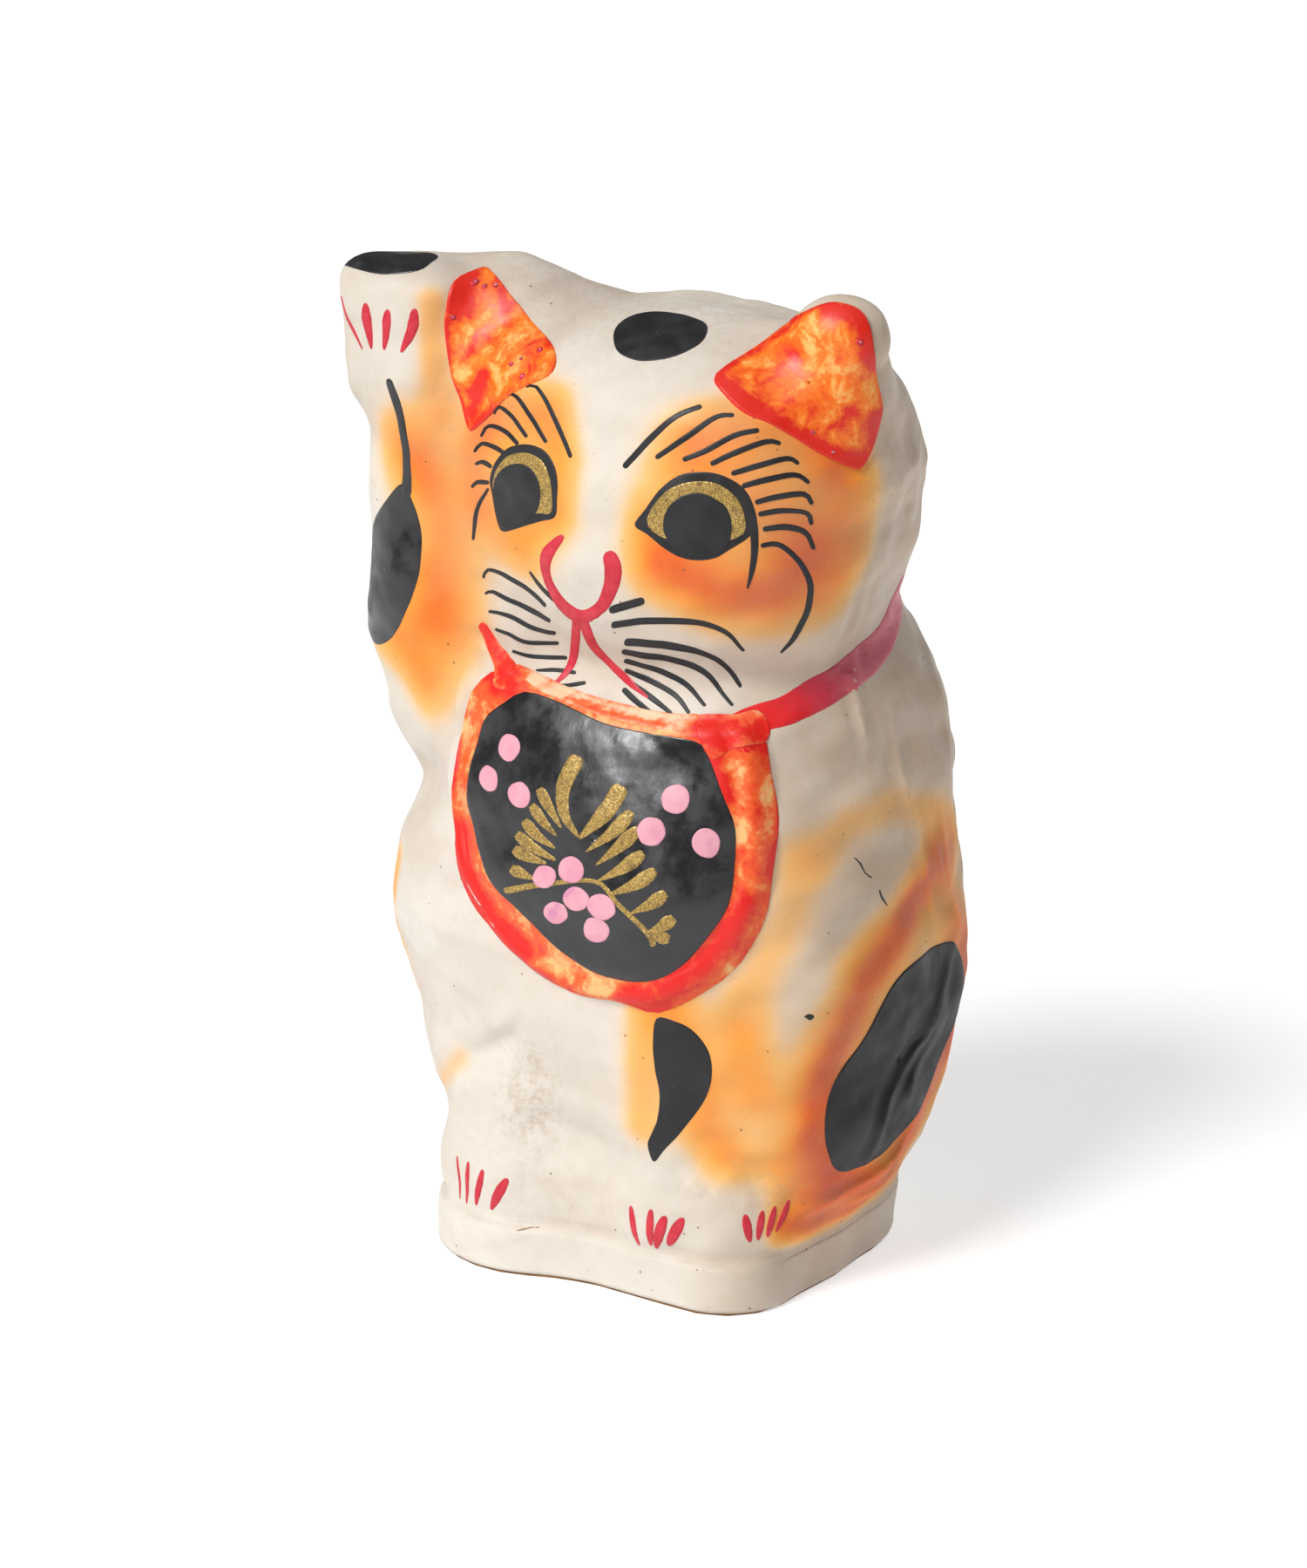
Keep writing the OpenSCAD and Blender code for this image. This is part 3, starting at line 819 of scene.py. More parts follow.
class Film:
    """A thin layer of paint, collected as patches of (h, v) points and built as one closed mesh."""

    def __init__(self, name, material, pools=()):
        self.name, self.material, self.pools = name, material, pools
        self.patches = []

    def patch(self, hv, stencil, rim, closed):
        """hv is rows by columns; rim is 0 inside and 1 on the outline, for each row and column."""
        self.patches.append((hv, stencil, rim, closed))

    def trace(self):
        """Every patch's points on the skin, one stencil at a time."""
        bases = [None] * len(self.patches)
        for stencil in {patch[1] for patch in self.patches}:
            mine = [i for i, patch in enumerate(self.patches) if patch[1] is stencil]
            flat = stencil.onto_skin(np.concatenate([self.patches[i][0].reshape(-1, 2) for i in mine]))
            for i in mine:
                n = self.patches[i][2].size
                bases[i], flat = flat[:n], flat[n:]
        return bases

    def build(self):
        points, faces, edge, pool, k = [], [], [], [], 0
        for base, (hv, _, rim, closed) in zip(self.trace(), self.patches):
            rim = rim.reshape(-1)
            n = normals(skin, base)
            height = np.where(rim > 0.999, -SUNK_RIM, LIFT[self.name])
            rows, cols = hv.shape[:2]
            m = rows * cols
            faces += both_sides(rows, cols, closed, k)
            for line in self.border(rows, cols, closed):
                faces += [(k + b, k + a, k + m + a, k + m + b) for a, b in zip(line[:-1], line[1:])]
            points += [base + n * height[:, None], base - n * UNDER]
            edge += [rim, rim]
            pool += [self.pooled(hv)] * 2
            k += 2 * m
        piece = mesh_object(self.name, np.concatenate(points), faces, None, self.material)
        point_mask(piece, "edge", np.clip((np.concatenate(edge) - 0.55) / 0.45, 0, 1))
        if self.pools:
            point_mask(piece, "pool", np.concatenate(pool))
        return piece

    def pooled(self, hv):
        """0..1 for each point of a patch: how much of the dye pooled there."""
        clear = np.ones(hv[..., 0].size)
        for line, width, strength in self.pools:
            gap, _ = line_distance(*hv.reshape(-1, 2).T, line)
            clear = clear * (1 - strength * np.exp(-(gap / width) ** 2))
        return 1 - clear

    @staticmethod
    def border(rows, cols, closed):
        """Outline vertices of a patch, in the order that keeps the side walls facing out."""
        if closed:
            ring = [(rows - 1) * cols + j for j in range(cols)]
            hole = [j for j in range(cols)]
            return [ring[::-1] + ring[-1:], hole + hole[:1]]
        first = list(range(cols))
        right = [i * cols + cols - 1 for i in range(rows)]
        last = [(rows - 1) * cols + j for j in range(cols)][::-1]
        left = [i * cols for i in range(rows)][::-1]
        return [first, right, last, left]

    def blot(self, outline_points, stencil=FRONT, smooth_line=True):
        """A filled shape, from its middle out."""
        ring = curve(outline_points, True, 1.0) if smooth_line else np.array(outline_points, float)
        if ((ring[:, 0] * np.roll(ring[:, 1], -1) - np.roll(ring[:, 0], -1) * ring[:, 1]).sum()) > 0:
            ring = ring[::-1]
        middle = ring.mean(0)
        size = np.linalg.norm(ring - middle, axis=1).mean()
        share = np.concatenate([[0.015, 0.05], np.linspace(0.12, 1 - 0.55 / size,
            max(3, int(size / 1.1))), [1 - 0.22 / size, 1.0]])
        hv = middle + (ring - middle)[None] * share[:, None, None]
        rim = np.repeat(np.clip((share - 0.8) / 0.2, 0, 1)[:, None], len(ring), 1)
        self.patch(hv, stencil, rim, True)

    def between(self, outer, inner, stencil=FRONT):
        """A ring of paint between two outlines with the same number of points."""
        share = np.concatenate([[0, 0.03], np.linspace(0.08, 0.92, 13), [0.97, 1]])
        hv = inner[None] + (outer - inner)[None] * share[:, None, None]
        rim = np.repeat((np.abs(share - 0.5) * 2)[:, None], len(outer), 1)
        self.patch(hv, stencil, rim, True)

    def stroke(self, points, widths, stencil=FRONT, start=0.6, end=0.6):
        """A brush stroke. widths are given along it; start and end are its end lengths over its width."""
        line = curve(points)
        run = np.concatenate([[0], np.cumsum(np.linalg.norm(np.diff(line, axis=0), axis=1))])
        ends = max(widths[0] * start, 0.3), max(widths[-1] * end, 0.3)
        body = run[(run > ends[0]) & (run < run[-1] - ends[1])]
        at = np.concatenate([np.linspace(0, 1, 5) * ends[0], body, run[-1]
            - np.linspace(1, 0, 5)[1:] * ends[1]])
        at = np.unique(np.clip(at, 0, run[-1]))
        line = np.stack([np.interp(at, run, line[:, i]) for i in (0, 1)], 1)
        width = np.interp(at / run[-1], np.linspace(0, 1, len(widths)), widths)
        for length, gap in zip(ends, (at, run[-1] - at)):
            t = np.clip(gap / length, 0, 1)
            width = width * np.sqrt(np.clip(1 - (1 - t) ** 2, 0.004, 1))
        d = np.gradient(line, axis=0)
        side = np.stack([d[:, 1], -d[:, 0]], 1) / (np.linalg.norm(d, axis=1, keepdims=True) + 1e-9)
        across = np.array([-1, -0.8, -0.4, 0, 0.4, 0.8, 1])
        hv = line[:, None] + side[:, None] * (across[None, :, None] * width[:, None, None] / 2)
        rim = np.repeat(np.abs(across)[None], len(line), 0)
        rim[0], rim[-1] = 1, 1
        self.patch(hv, stencil, rim, False)


# ---------------------------------------------------------------- the painted marks
def ellipse(h, v, rh, rv, turn=0.0, n=18, wobble=0.0, seed=1):
    rng = np.random.default_rng(seed)
    t = np.linspace(0, 2 * math.pi, n, endpoint=False)
    r = 1 + wobble * rng.uniform(-1, 1, n)
    c, s = math.cos(math.radians(turn)), math.sin(math.radians(turn))
    x, y = rh * r * np.cos(t), rv * r * np.sin(t)
    return np.stack([h + x * c - y * s, v + x * s + y * c], 1)


CROWN = Stencil(0, 50)
VIEW = Stencil(35, 17)
ARM = Stencil(-15, 0)
PAW_TOP = Stencil(-10, 45)
LEFT_EAR = Stencil(25, 15)
RIGHT_EAR = Stencil(0, 15)
LEFT_SIDE = Stencil(60, 0)
NECK = Stencil(50, 0)
HIND = Stencil(30, 0)
BACK = Stencil(180, 0)


def eyes(black, gold):
    """Each eye: black outline, gold iris, black pupil that touches the lower lid."""
    line = Film("eye_outlines", black)
    line.blot([(-41.7, 176.4), (-42, 180), (-40.4, 183.9), (-37.7, 186.9), (-34.3, 187.8), (-30.9, 187.3),
        (-28, 185.5), (-25.9, 182.1), (-25.1, 178.1), (-25.3, 174.1), (-26, 170.4), (-29.4, 169.7),
        (-33.6, 168.7), (-37.9, 167.8), (-39.7, 169.2), (-41.2, 172.7)], VIEW)
    line.blot([(-7.3, 168.3), (-4.6, 171.9), (-1.5, 175.9), (2.3, 178.8), (6.1, 179.6), (10.6, 179.3),
        (14.4, 177.8), (17.4, 175.6), (19.4, 172.1), (20.4, 167.7), (18.8, 164.9), (13.8, 161.9),
        (10.7, 160.3), (6.9, 160), (3.1, 160.8), (-0.8, 162.8), (-4.6, 166)], VIEW)
    iris = Film("eye_gold", gold)
    iris.blot([(-41.4, 178), (-40.3, 181.7), (-37.7, 185), (-34.7, 185.9), (-31.4, 185.4), (-28.6, 183.3),
        (-26.9, 179.7), (-26.4, 175.7), (-26.9, 171.5), (-30, 171.5), (-36, 171.5), (-40, 174)], VIEW)
    iris.blot([(-4.5, 169.3), (-2.6, 173), (0.8, 176), (5.3, 177.5), (9.9, 177.3), (13.6, 175.6),
        (16.2, 172.9), (17.4, 169.9), (17.8, 166.3), (16, 164.7), (12, 163.8), (6, 163.4), (-0.3, 164.8),
        (-3.4, 166.8)], VIEW)
    pupil = Film("eye_pupils", black)
    pupil.blot([(-41.5, 176.4), (-40.3, 180.5), (-37.3, 183.1), (-33.9, 183.4), (-31.1, 181.9),
        (-29.3, 179), (-29, 175.5), (-30.2, 172), (-31.9, 170.7), (-35, 169), (-37.9, 168.3),
        (-39.6, 169.9), (-41, 173.1)], VIEW)
    pupil.blot([(-0.9, 168.3), (0.2, 172), (3.1, 174.4), (6.9, 175.1), (10.2, 174), (13.2, 171.8),
        (14.5, 168.4), (14.3, 164.7), (12.6, 161.9), (9.2, 160.9), (5.4, 161), (1.6, 162.6),
        (-0.4, 165.5)], VIEW)
    tail = Film("eye_tails", black)
    tail.stroke([(17.8, 172.2), (19.4, 167.4), (19.8, 162.5), (19.2, 158), (18, 153.3)],
        (1.6, 2.2, 2.0, 1.5, 0.5), VIEW, end=2)
    return [line, iris, pupil, tail]


def lashes(black):
    film = Film("lashes", black)
    left = [[(-10.3, 181), (-4.1, 187.3), (2, 192.1), (7.8, 194.3)],
        [(-2.9, 182.9), (4.4, 187.6), (10.9, 191.7), (15, 192.2)],
        [(3.2, 182.3), (8.5, 184.3), (15, 187.6), (20.5, 188.8)],
        [(9.5, 181.2), (15, 183.7), (22.1, 186.3), (25.5, 185.9)],
        [(14.2, 179), (20.9, 181), (27.1, 182.6), (29.7, 181.4)],
        [(16.6, 176.2), (22.1, 177.7), (28.7, 178.9), (31.9, 177.2)],
        [(19.6, 172.5), (25.1, 174), (30.7, 174.7), (32.7, 172.4)],
        [(20.4, 169.8), (26.1, 170.7), (31.7, 170.2), (33, 167.5)],
        [(21.6, 166.3), (27.2, 166.8), (31.8, 165.7), (33.9, 162.1)]]
    for n, line in enumerate(left):
        film.stroke(line, (1.3, 1.5, 1.4, 1.1) if n else (1.7, 1.7, 1.4, 1.3), VIEW)
    film.stroke([(21.2, 162.8), (25.2, 163), (28.8, 161), (31.5, 157.8), (32.9, 153.8), (32.3, 148.8),
        (29.4, 143.6), (25.9, 139.3)], (1.1, 1.3, 1.6, 1.7, 1.4, 0.5), VIEW, end=2)
    right = [[(-32.7, 201), (-30.3, 200.8), (-26.8, 194.9), (-22.5, 183.9)],
        [(-37.7, 199.7), (-35, 199), (-30.9, 192.8), (-28.1, 187.6)],
        [(-41.2, 195.4), (-39.4, 197), (-35.8, 193.9), (-32.6, 189.2)],
        [(-44.2, 190.4), (-42.4, 192.9), (-37.9, 190.9), (-34.7, 187.7)],
        [(-45.4, 186.9), (-44, 188.8), (-40.6, 187.6), (-37.4, 185.5)],
        [(-45.4, 184.1), (-43.5, 184.5), (-41, 183)], [(-46.6, 178.7), (-45.3, 179.9), (-42, 179.5)],
        [(-42.4, 178.3), (-45.3, 173.8), (-46.3, 166.5)]]
    for line in right:
        film.stroke(line, (0.7, 1.1, 1.2, 1.0), VIEW)
    return film


def whiskers(black):
    film = Film("whiskers", black)
    left = [[(-13.2, 149.5), (-5.3, 151)], [(-12.6, 146.5), (-4.9, 146.4), (5.3, 145.4), (13.1, 143.2),
        (17.6, 138.9)], [(-9.6, 142.7), (0.3, 140.9), (10.6, 137.3), (17.2, 131.4)],
        [(-10.2, 140.8), (0.3, 138), (9, 134), (15.1, 126.9)],
        [(-9.8, 138.4), (-2.3, 135.5), (4.4, 131.8), (8.8, 126.7)],
        [(-10, 135.6), (-3.3, 132.5), (2, 129.2), (5.2, 125)], [(-9.2, 132.7), (-3.9, 129), (1.2, 125)],
        [(-10.6, 131.2), (-7.4, 128.2), (-3.1, 125)]]
    for line in left:
        film.stroke(line, (1.5, 1.6, 1.4, 0.9) if len(line) > 2 else (1.9, 2.2), VIEW)
    right = [[(-31.8, 158.8), (-29.4, 155.1), (-25.6, 152)],
        [(-44.3, 157.3), (-43, 159.3), (-38.9, 158.2), (-32.6, 154.3), (-28, 150.7)],
        [(-43.9, 153.9), (-41.9, 154.3), (-36.9, 151.9), (-27, 147.4)],
        [(-42.5, 149.9), (-38, 148.9), (-31.7, 145.9), (-25.9, 144.6)],
        [(-40.7, 145.8), (-37.7, 144.6), (-32.8, 142.5), (-25.3, 142.2)],
        [(-36.9, 140.4), (-32.2, 139), (-23.6, 138.5)], [(-31, 135.4), (-25.9, 135.6), (-21.6, 135)],
        [(-25.2, 131.8), (-22.2, 132), (-19.1, 132.6)]]
    for line in right:
        film.stroke(line, (0.7, 1.1, 1.2, 1.0), VIEW)
    return film


def nose_and_mouth(crimson):
    film = Film("nose_and_mouth", crimson)
    film.stroke([(-23.6, 166.6), (-27.2, 162), (-27.2, 156.6), (-23.8, 151), (-19.2, 148.6), (-15, 150.2),
        (-12.8, 154.4), (-12.1, 158.8), (-13.4, 162.6)], (1.8, 3.4, 2.4, 2.6, 3.2, 2.8, 3.4, 4.2, 3.2),
        VIEW, start=1.2)
    film.stroke([(-19.9, 149), (-21.1, 142.8), (-22.6, 137.6), (-24.4, 134.4), (-27, 131.6)],
        (2.9, 2.6, 2.2, 1.8, 0.6), VIEW, end=2)
    film.stroke([(-18.9, 149), (-16.3, 141.8), (-12.7, 136.6), (-9, 132.6), (-4.1, 128.6)],
        (2.9, 2.6, 2.4, 1.9, 0.6), VIEW, end=2)
    return film


def claws(crimson):
    film = Film("claw_marks", crimson)
    drop = (1.6, 3.0, 2.4, 0.9)
    for line, fat in (([(-74.3, 230.5), (-71.5, 225.5), (-66.8, 218.5)], 0.5),
            ([(-64.5, 230.5), (-64.2, 224.5), (-63.5, 219)], 1.15),
            ([(-58, 229.7), (-58.4, 224.5), (-59, 219.5)], 1.05),
            ([(-50.5, 230.5), (-51, 225.5), (-54, 219.5)], 1.05)):
        film.stroke(line, [w * fat for w in drop], start=1, end=1.6)
    for top, low, width in (((-29, 25.7), (-28, 14.7), 1.1), ((-24.2, 26), (-25, 14.5), 2.0),
            ((-18.5, 25.5), (-21.2, 14.8), 2.5), ((-11.5, 24.5), (-16.5, 14.8), 2.9),
            ((22.5, 24.5), (24.3, 13.8), 2.2), ((28.5, 25), (28, 14.6), 2.4),
            ((32.2, 24), (29.2, 14), 3.0), ((36.3, 24), (32.5, 15.3), 3.0)):
        film.stroke([top, low], [width * w for w in (0.55, 1.0, 0.9, 0.35)], start=1, end=1.6)
    for top, low, width in (((23.5, 25.5), (25, 18.2), 2.4), ((27.7, 26), (26.8, 18.5), 2.0),
            ((30.8, 26.5), (29, 19), 2.0), ((34.3, 27), (31, 20), 1.6)):
        film.stroke([top, low], [width * w for w in (0.5, 1.0, 0.9, 0.4)], HIND, start=1, end=1.6)
    return film


def black_spots(black):
    film = Film("black_spots", black)
    film.blot([(-0.5, 131), (0, 136.5), (5, 140.5), (13, 141.2), (20.5, 138.5), (23.2, 132.5),
        (21.5, 127.5), (17, 123.8), (11, 122.5), (4.5, 124.5)], CROWN)
    film.blot([(30.3, 73.8), (34, 74), (38.5, 72), (42, 67), (42.6, 61), (40.5, 53.5), (35, 45), (31, 40),
        (28, 36.2), (27, 41), (29.3, 46), (30.2, 52), (29.6, 59.5), (29.2, 67.5)])
    hip = Film("black_hip_spot", black)
    hip.blot([(49.5, 81), (56, 78), (58.5, 69), (55, 55), (47, 42.5), (36, 35), (22, 31.5), (14.5, 33.5),
        (10.5, 40.5), (9.5, 48.5), (12, 56), (19, 64), (25.5, 73), (35, 80)], LEFT_SIDE)
    film.blot([(28, 118), (40, 116), (48, 106), (50, 92), (44, 80), (34, 76), (24, 82), (20, 94),
        (21, 108)], BACK)
    film.blot([(-22, 60), (-27, 69), (-35, 72), (-40, 66), (-39, 58), (-33, 53), (-26, 53)], BACK)
    return [film, hip]


def cracks(dark):
    """Hairline cracks in the ground and a chipped spot."""
    film = Film("ground_cracks", dark)
    film.stroke([(19.6, 110.5), (21.2, 108.6), (22, 106.4), (23.8, 104.8)], (0.25, 0.5, 0.3, 0.4),
        LEFT_SIDE)
    film.stroke([(25.6, 101.6), (26.2, 99.8), (28.1, 97.2)], (0.5, 0.6, 0.25), LEFT_SIDE)
    film.blot([(3.8, 75.4), (5, 76.2), (6.4, 75.6), (6.1, 74.6), (5.2, 74.2), (4.6, 74.8)], LEFT_SIDE)
    return film


def band_end(ochre):
    """The torn edge where the pasted band's loose end slants over its start."""
    film = Film("paper_band_end", ochre)
    film.stroke([(-3.5, 13.6), (-9, 11.5), (-15, 9), (-20.5, 6.2), (-24.5, 3.4), (-27, 1.2)],
        (0.2, 0.4, 0.35, 0.45, 0.3))
    return film


def glossy_marks(black):
    """The thick, shiny black on the raised leg and its paw."""
    film = Film("raised_leg_marks", black)
    film.blot([(-71.5, 141), (-70, 147), (-66, 151.5), (-60, 153.5), (-52, 151.5), (-47.5, 146),
        (-48.5, 142.5), (-54, 139.6), (-61, 138.5), (-67, 139)], PAW_TOP)
    film.blot([(-44.5, 187.5), (-51, 182), (-58, 174), (-62.5, 164), (-62.8, 153), (-59.5, 146),
        (-54, 145.5), (-47, 149.5), (-41, 157), (-38, 166), (-38.5, 175), (-41.5, 183)], ARM)
    film.stroke([(-47, 213), (-44.5, 205), (-43, 195.5), (-43.6, 184)], (2.6, 2.6, 2.4, 3.6), ARM)
    return film


LEFT_EAR_POOLS = ((((18.3, 205), (27, 197.8), (36.6, 193.2), (44.7, 189.2), (51, 187.5)), 2.3, 1.0),
    (((53.4, 199), (52.3, 188)), 1.6, 0.7), (((42.5, 221.3), (48.7, 220), (51.8, 214.2), (52.6, 210.6)),
    1.9, 0.95), (((40, 221.4), (28.2, 214), (18.2, 206.3)), 0.7, 0.6),
    (((35, 211.5), (35.5, 211)), 1.6, 0.6), (((31.5, 208), (32, 208)), 1.2, 0.5),
    (((45.8, 196), (48.6, 200)), 1.8, 0.55), (((30, 203), (40, 200)), 4, 0.25))
RIGHT_EAR_POOLS = ((((-44, 222.5), (-41.6, 216.5)), 3.4, 0.95),
    (((-44.4, 212), (-42.3, 199.3), (-35.5, 189)), 1.0, 0.8), (((-34.5, 193), (-32.2, 201)), 2.5, 0.8),
    (((-37.2, 223), (-32.2, 216.8)), 1.2, 0.6), (((-20, 207), (-17, 204)), 3.5, 0.35),
    (((-38, 204), (-37, 209)), 2.0, 0.4), (((-34, 188), (-26, 194)), 1.5, 0.5))


def ears(dye, ring_paint, pale):
    left = Film("ear_paint_left", dye, LEFT_EAR_POOLS)
    left.blot([(17.3, 204.9), (18.6, 207.5), (23.3, 211.4), (28.6, 215.5), (34.8, 219.4), (40, 221.9),
        (44.6, 222.8), (49.3, 221.3), (51.7, 218), (53, 212.8), (53.5, 207), (54.4, 201.1), (54, 195.1),
        (52.8, 190.4), (50.6, 186.3), (46.8, 187.2), (41.8, 189.5), (36.6, 192.4), (31.4, 194.9),
        (25.4, 197.1), (20.8, 200.8)], LEFT_EAR)
    right = Film("ear_paint_right", dye, RIGHT_EAR_POOLS)
    right.blot([(-42.5, 226.2), (-40, 225.4), (-36.5, 222.9), (-31.8, 219.4), (-24.8, 215.3),
        (-17.8, 211.9), (-12.8, 209), (-10.4, 205.9), (-11, 203), (-15.2, 200.3), (-20.9, 197.2),
        (-26.8, 192.8), (-32.2, 188.7), (-34.5, 187.7), (-36.6, 190.2), (-38.9, 194.7), (-41.8, 200.1),
        (-43.3, 205.4), (-44.3, 210.7), (-44.4, 215.5), (-44.8, 219.5), (-44.8, 223)], RIGHT_EAR)
    rings = Film("ear_bubble_rings", ring_paint)
    dots = Film("ear_bubble_dots", pale)
    for n, (h, v, stencil) in enumerate([(49.9, 214.6, LEFT_EAR), (40.2, 193.9, LEFT_EAR),
            (44.6, 189.6, LEFT_EAR)] + [(h, v, RIGHT_EAR) for h,
            v in ((-41.6, 221.8), (-39, 221), (-36.9, 221.4), (-17.5, 208.5), (-23.1, 204),
            (-21.2, 205.7), (-18.2, 201.6), (-43, 213.5))]):
        r = (0.95, 0.75, 0.6)[n % 3]
        rings.blot(ellipse(h, v, r, r, 0, 8), stencil)
        dots.blot(ellipse(h + 0.1, v + 0.1, 0.45 * r, 0.45 * r, 0, 6), stencil)
    return [left, right, rings, dots]


BIB_MIDDLE = np.array([-18.2, 94.4])
BIB_POINTS = 96


def bib_outline(points):
    """A bib outline as points at even angles about the bib's middle."""
    ring = curve(points, True, 0.6)
    angle = np.arctan2(*(ring - BIB_MIDDLE).T[::-1])
    order = np.argsort(angle)
    reach = np.linalg.norm(ring - BIB_MIDDLE, axis=1)[order]
    at = np.linspace(math.pi, -math.pi, BIB_POINTS, endpoint=False)
    r = np.interp(at, angle[order], reach, period=2 * math.pi)
    return BIB_MIDDLE + np.stack([np.cos(at), np.sin(at)], 1) * r[:, None]


FIELD = [(-32.9, 130.5), (-38.4, 127.8), (-43.4, 124.2), (-46.1, 115.9), (-46.9, 104), (-45.6, 96.8),
    (-42, 86.3), (-35.9, 79.1), (-28.2, 71.7), (-20.5, 66.5), (-13.3, 63.8), (-4.5, 62.6), (1.4, 65),
    (7, 70), (12.8, 78.3), (14.9, 84.6), (15.7, 97.3), (12.8, 106.6), (9.6, 115.4), (6.8, 118.8),
    (-3.9, 120.6), (-14.5, 123), (-25, 127.7)]
BORDER = [(-41.5, 135.6), (-46.8, 130), (-49.3, 122), (-50.4, 112), (-51.1, 97.9), (-49, 82.9),
    (-41, 72.2), (-31.3, 64), (-21.6, 59), (-11.1, 57.4), (-5.7, 55.6), (-1.7, 55.3), (7, 59.2),
    (15.7, 65.6), (21.7, 75.2), (24.5, 87), (25.6, 101.3), (24, 112), (21.2, 120.5), (8, 122.3),
    (-4, 122.8), (-14, 125), (-25, 129.6), (-34, 134.5)]
BORDER_POOLS = ((((9, 121), (21, 120)), 3.2, 1.0), (((9.5, 117), (14, 106)), 1.8, 0.8),
    (((25.6, 113.8), (26, 101), (24.2, 88.6)), 1.3, 0.9), (((19.7, 110.5), (20.7, 97)), 2.2, 0.25),
    (((18.4, 80.7), (8.1, 67.6), (-2.9, 59.3)), 4.5, 0.7),
    (((-50, 98), (-47.6, 85.5), (-41.6, 75.5), (-34, 68.5)), 3.0, 0.95),
    (((-41, 134), (-36, 131)), 3.4, 1.0), (((-49.6, 120), (-50.4, 106)), 0.8, 0.6),
    (((-9, 59), (-2, 57)), 2.6, 0.9), (((-31.3, 65), (-22.2, 60.3)), 1.2, 0.5))


def bib_paint(black, dye):
    border = Film("bib_border_paint", dye, BORDER_POOLS)
    field_line = bib_outline(FIELD)
    border.between(bib_outline(BORDER), BIB_MIDDLE + (field_line - BIB_MIDDLE) * 0.95, VIEW)
    field = Film("bib_field_paint", black)
    field.blot(field_line, VIEW, smooth_line=False)
    return [border, field]


def bib_flowers(pink, gold):
    dots = Film("bib_blossom_dots", pink)
    for n, (h, v, rh, rv, turn) in enumerate(((-37, 117.3, 2.9, 3.4, -15), (-41.9, 109.9, 2.1, 3.3, 10),
            (-34.7, 106.2, 2.9, 3.3, 15), (1.9, 105.3, 3.5, 3.6, -20), (-3.7, 97.9, 3.4, 3.5, -10),
            (8.8, 95.3, 3.4, 3.7, 20), (-22.4, 88.8, 3.4, 3.2, -30), (-28.8, 87, 2.9, 2.9, -30),
            (-21.2, 82, 3.3, 3.0, -20), (-15.1, 80.3, 3.6, 3.1, -20), (-26.2, 78.6, 3.0, 2.9, -20),
            (-16.6, 74.8, 3.4, 3.2, -25))):
        dots.blot(ellipse(h, v, rh, rv, turn, 12, 0.04, n), VIEW)
    leaves = Film("bib_gold_leaves", gold)
    leaves.stroke([(-20.4, 115.6), (-24, 107.9), (-23.6, 101.4), (-20.3, 96.2)], (4.4, 4.4, 3.2, 0.8),
        VIEW, start=0.5, end=2)
    leaves.stroke([(-10.4, 108.9), (-14.2, 102.3), (-20.6, 95.9)], (4.8, 4.8, 0.9), VIEW, start=0.5,
        end=2)
    left = [((-30.1, 108.3), (-27.5, 103.4), (-24.5, 98.4)),
        ((-32.2, 104.4), (-29.4, 100.3), (-25.7, 96.6)), ((-34.4, 100.7), (-30.9, 96.8), (-26.1, 93.6)),
        ((-36.4, 97.4), (-31.5, 93.7), (-26.1, 90.8)), ((-36.8, 93.9), (-33, 91.7), (-28.3, 90.1)),
        ((-37, 89.3), (-34.5, 87.9), (-31.2, 86.4))]
    right = [((-7.7, 103), (-12.4, 97.8), (-18.9, 93)), ((-6.1, 99.1), (-11, 94.4), (-16.5, 90)),
        ((-4.9, 93.4), (-10.2, 89.4), (-16.3, 86.2)), ((-2.1, 89.4), (-7.1, 85.8), (-13.6, 83)),
        ((0.3, 84.2), (-3.5, 81.4), (-8.5, 79)), ((2.1, 78.6), (-1.1, 76.1), (-4.9, 74.4)),
        ((1.1, 72.4), (-1.9, 73.4), (-4.9, 74.6))]
    for line in left:
        leaves.stroke(line, (3.2, 3.4, 2.2, 0.6), VIEW, start=0.9, end=2)
    for line in right:
        leaves.stroke(line, (3.2, 4.2, 2.4, 0.4), VIEW, start=1.1, end=2)
    leaves.stroke([(-38.4, 83.7), (-28, 85.4), (-16.7, 86.2), (-11, 81), (-4.5, 74.2), (-3.3, 70.9)],
                  (2.0, 1.6, 1.2, 1.2, 1.4, 1.8), VIEW)
    return [leaves, dots]


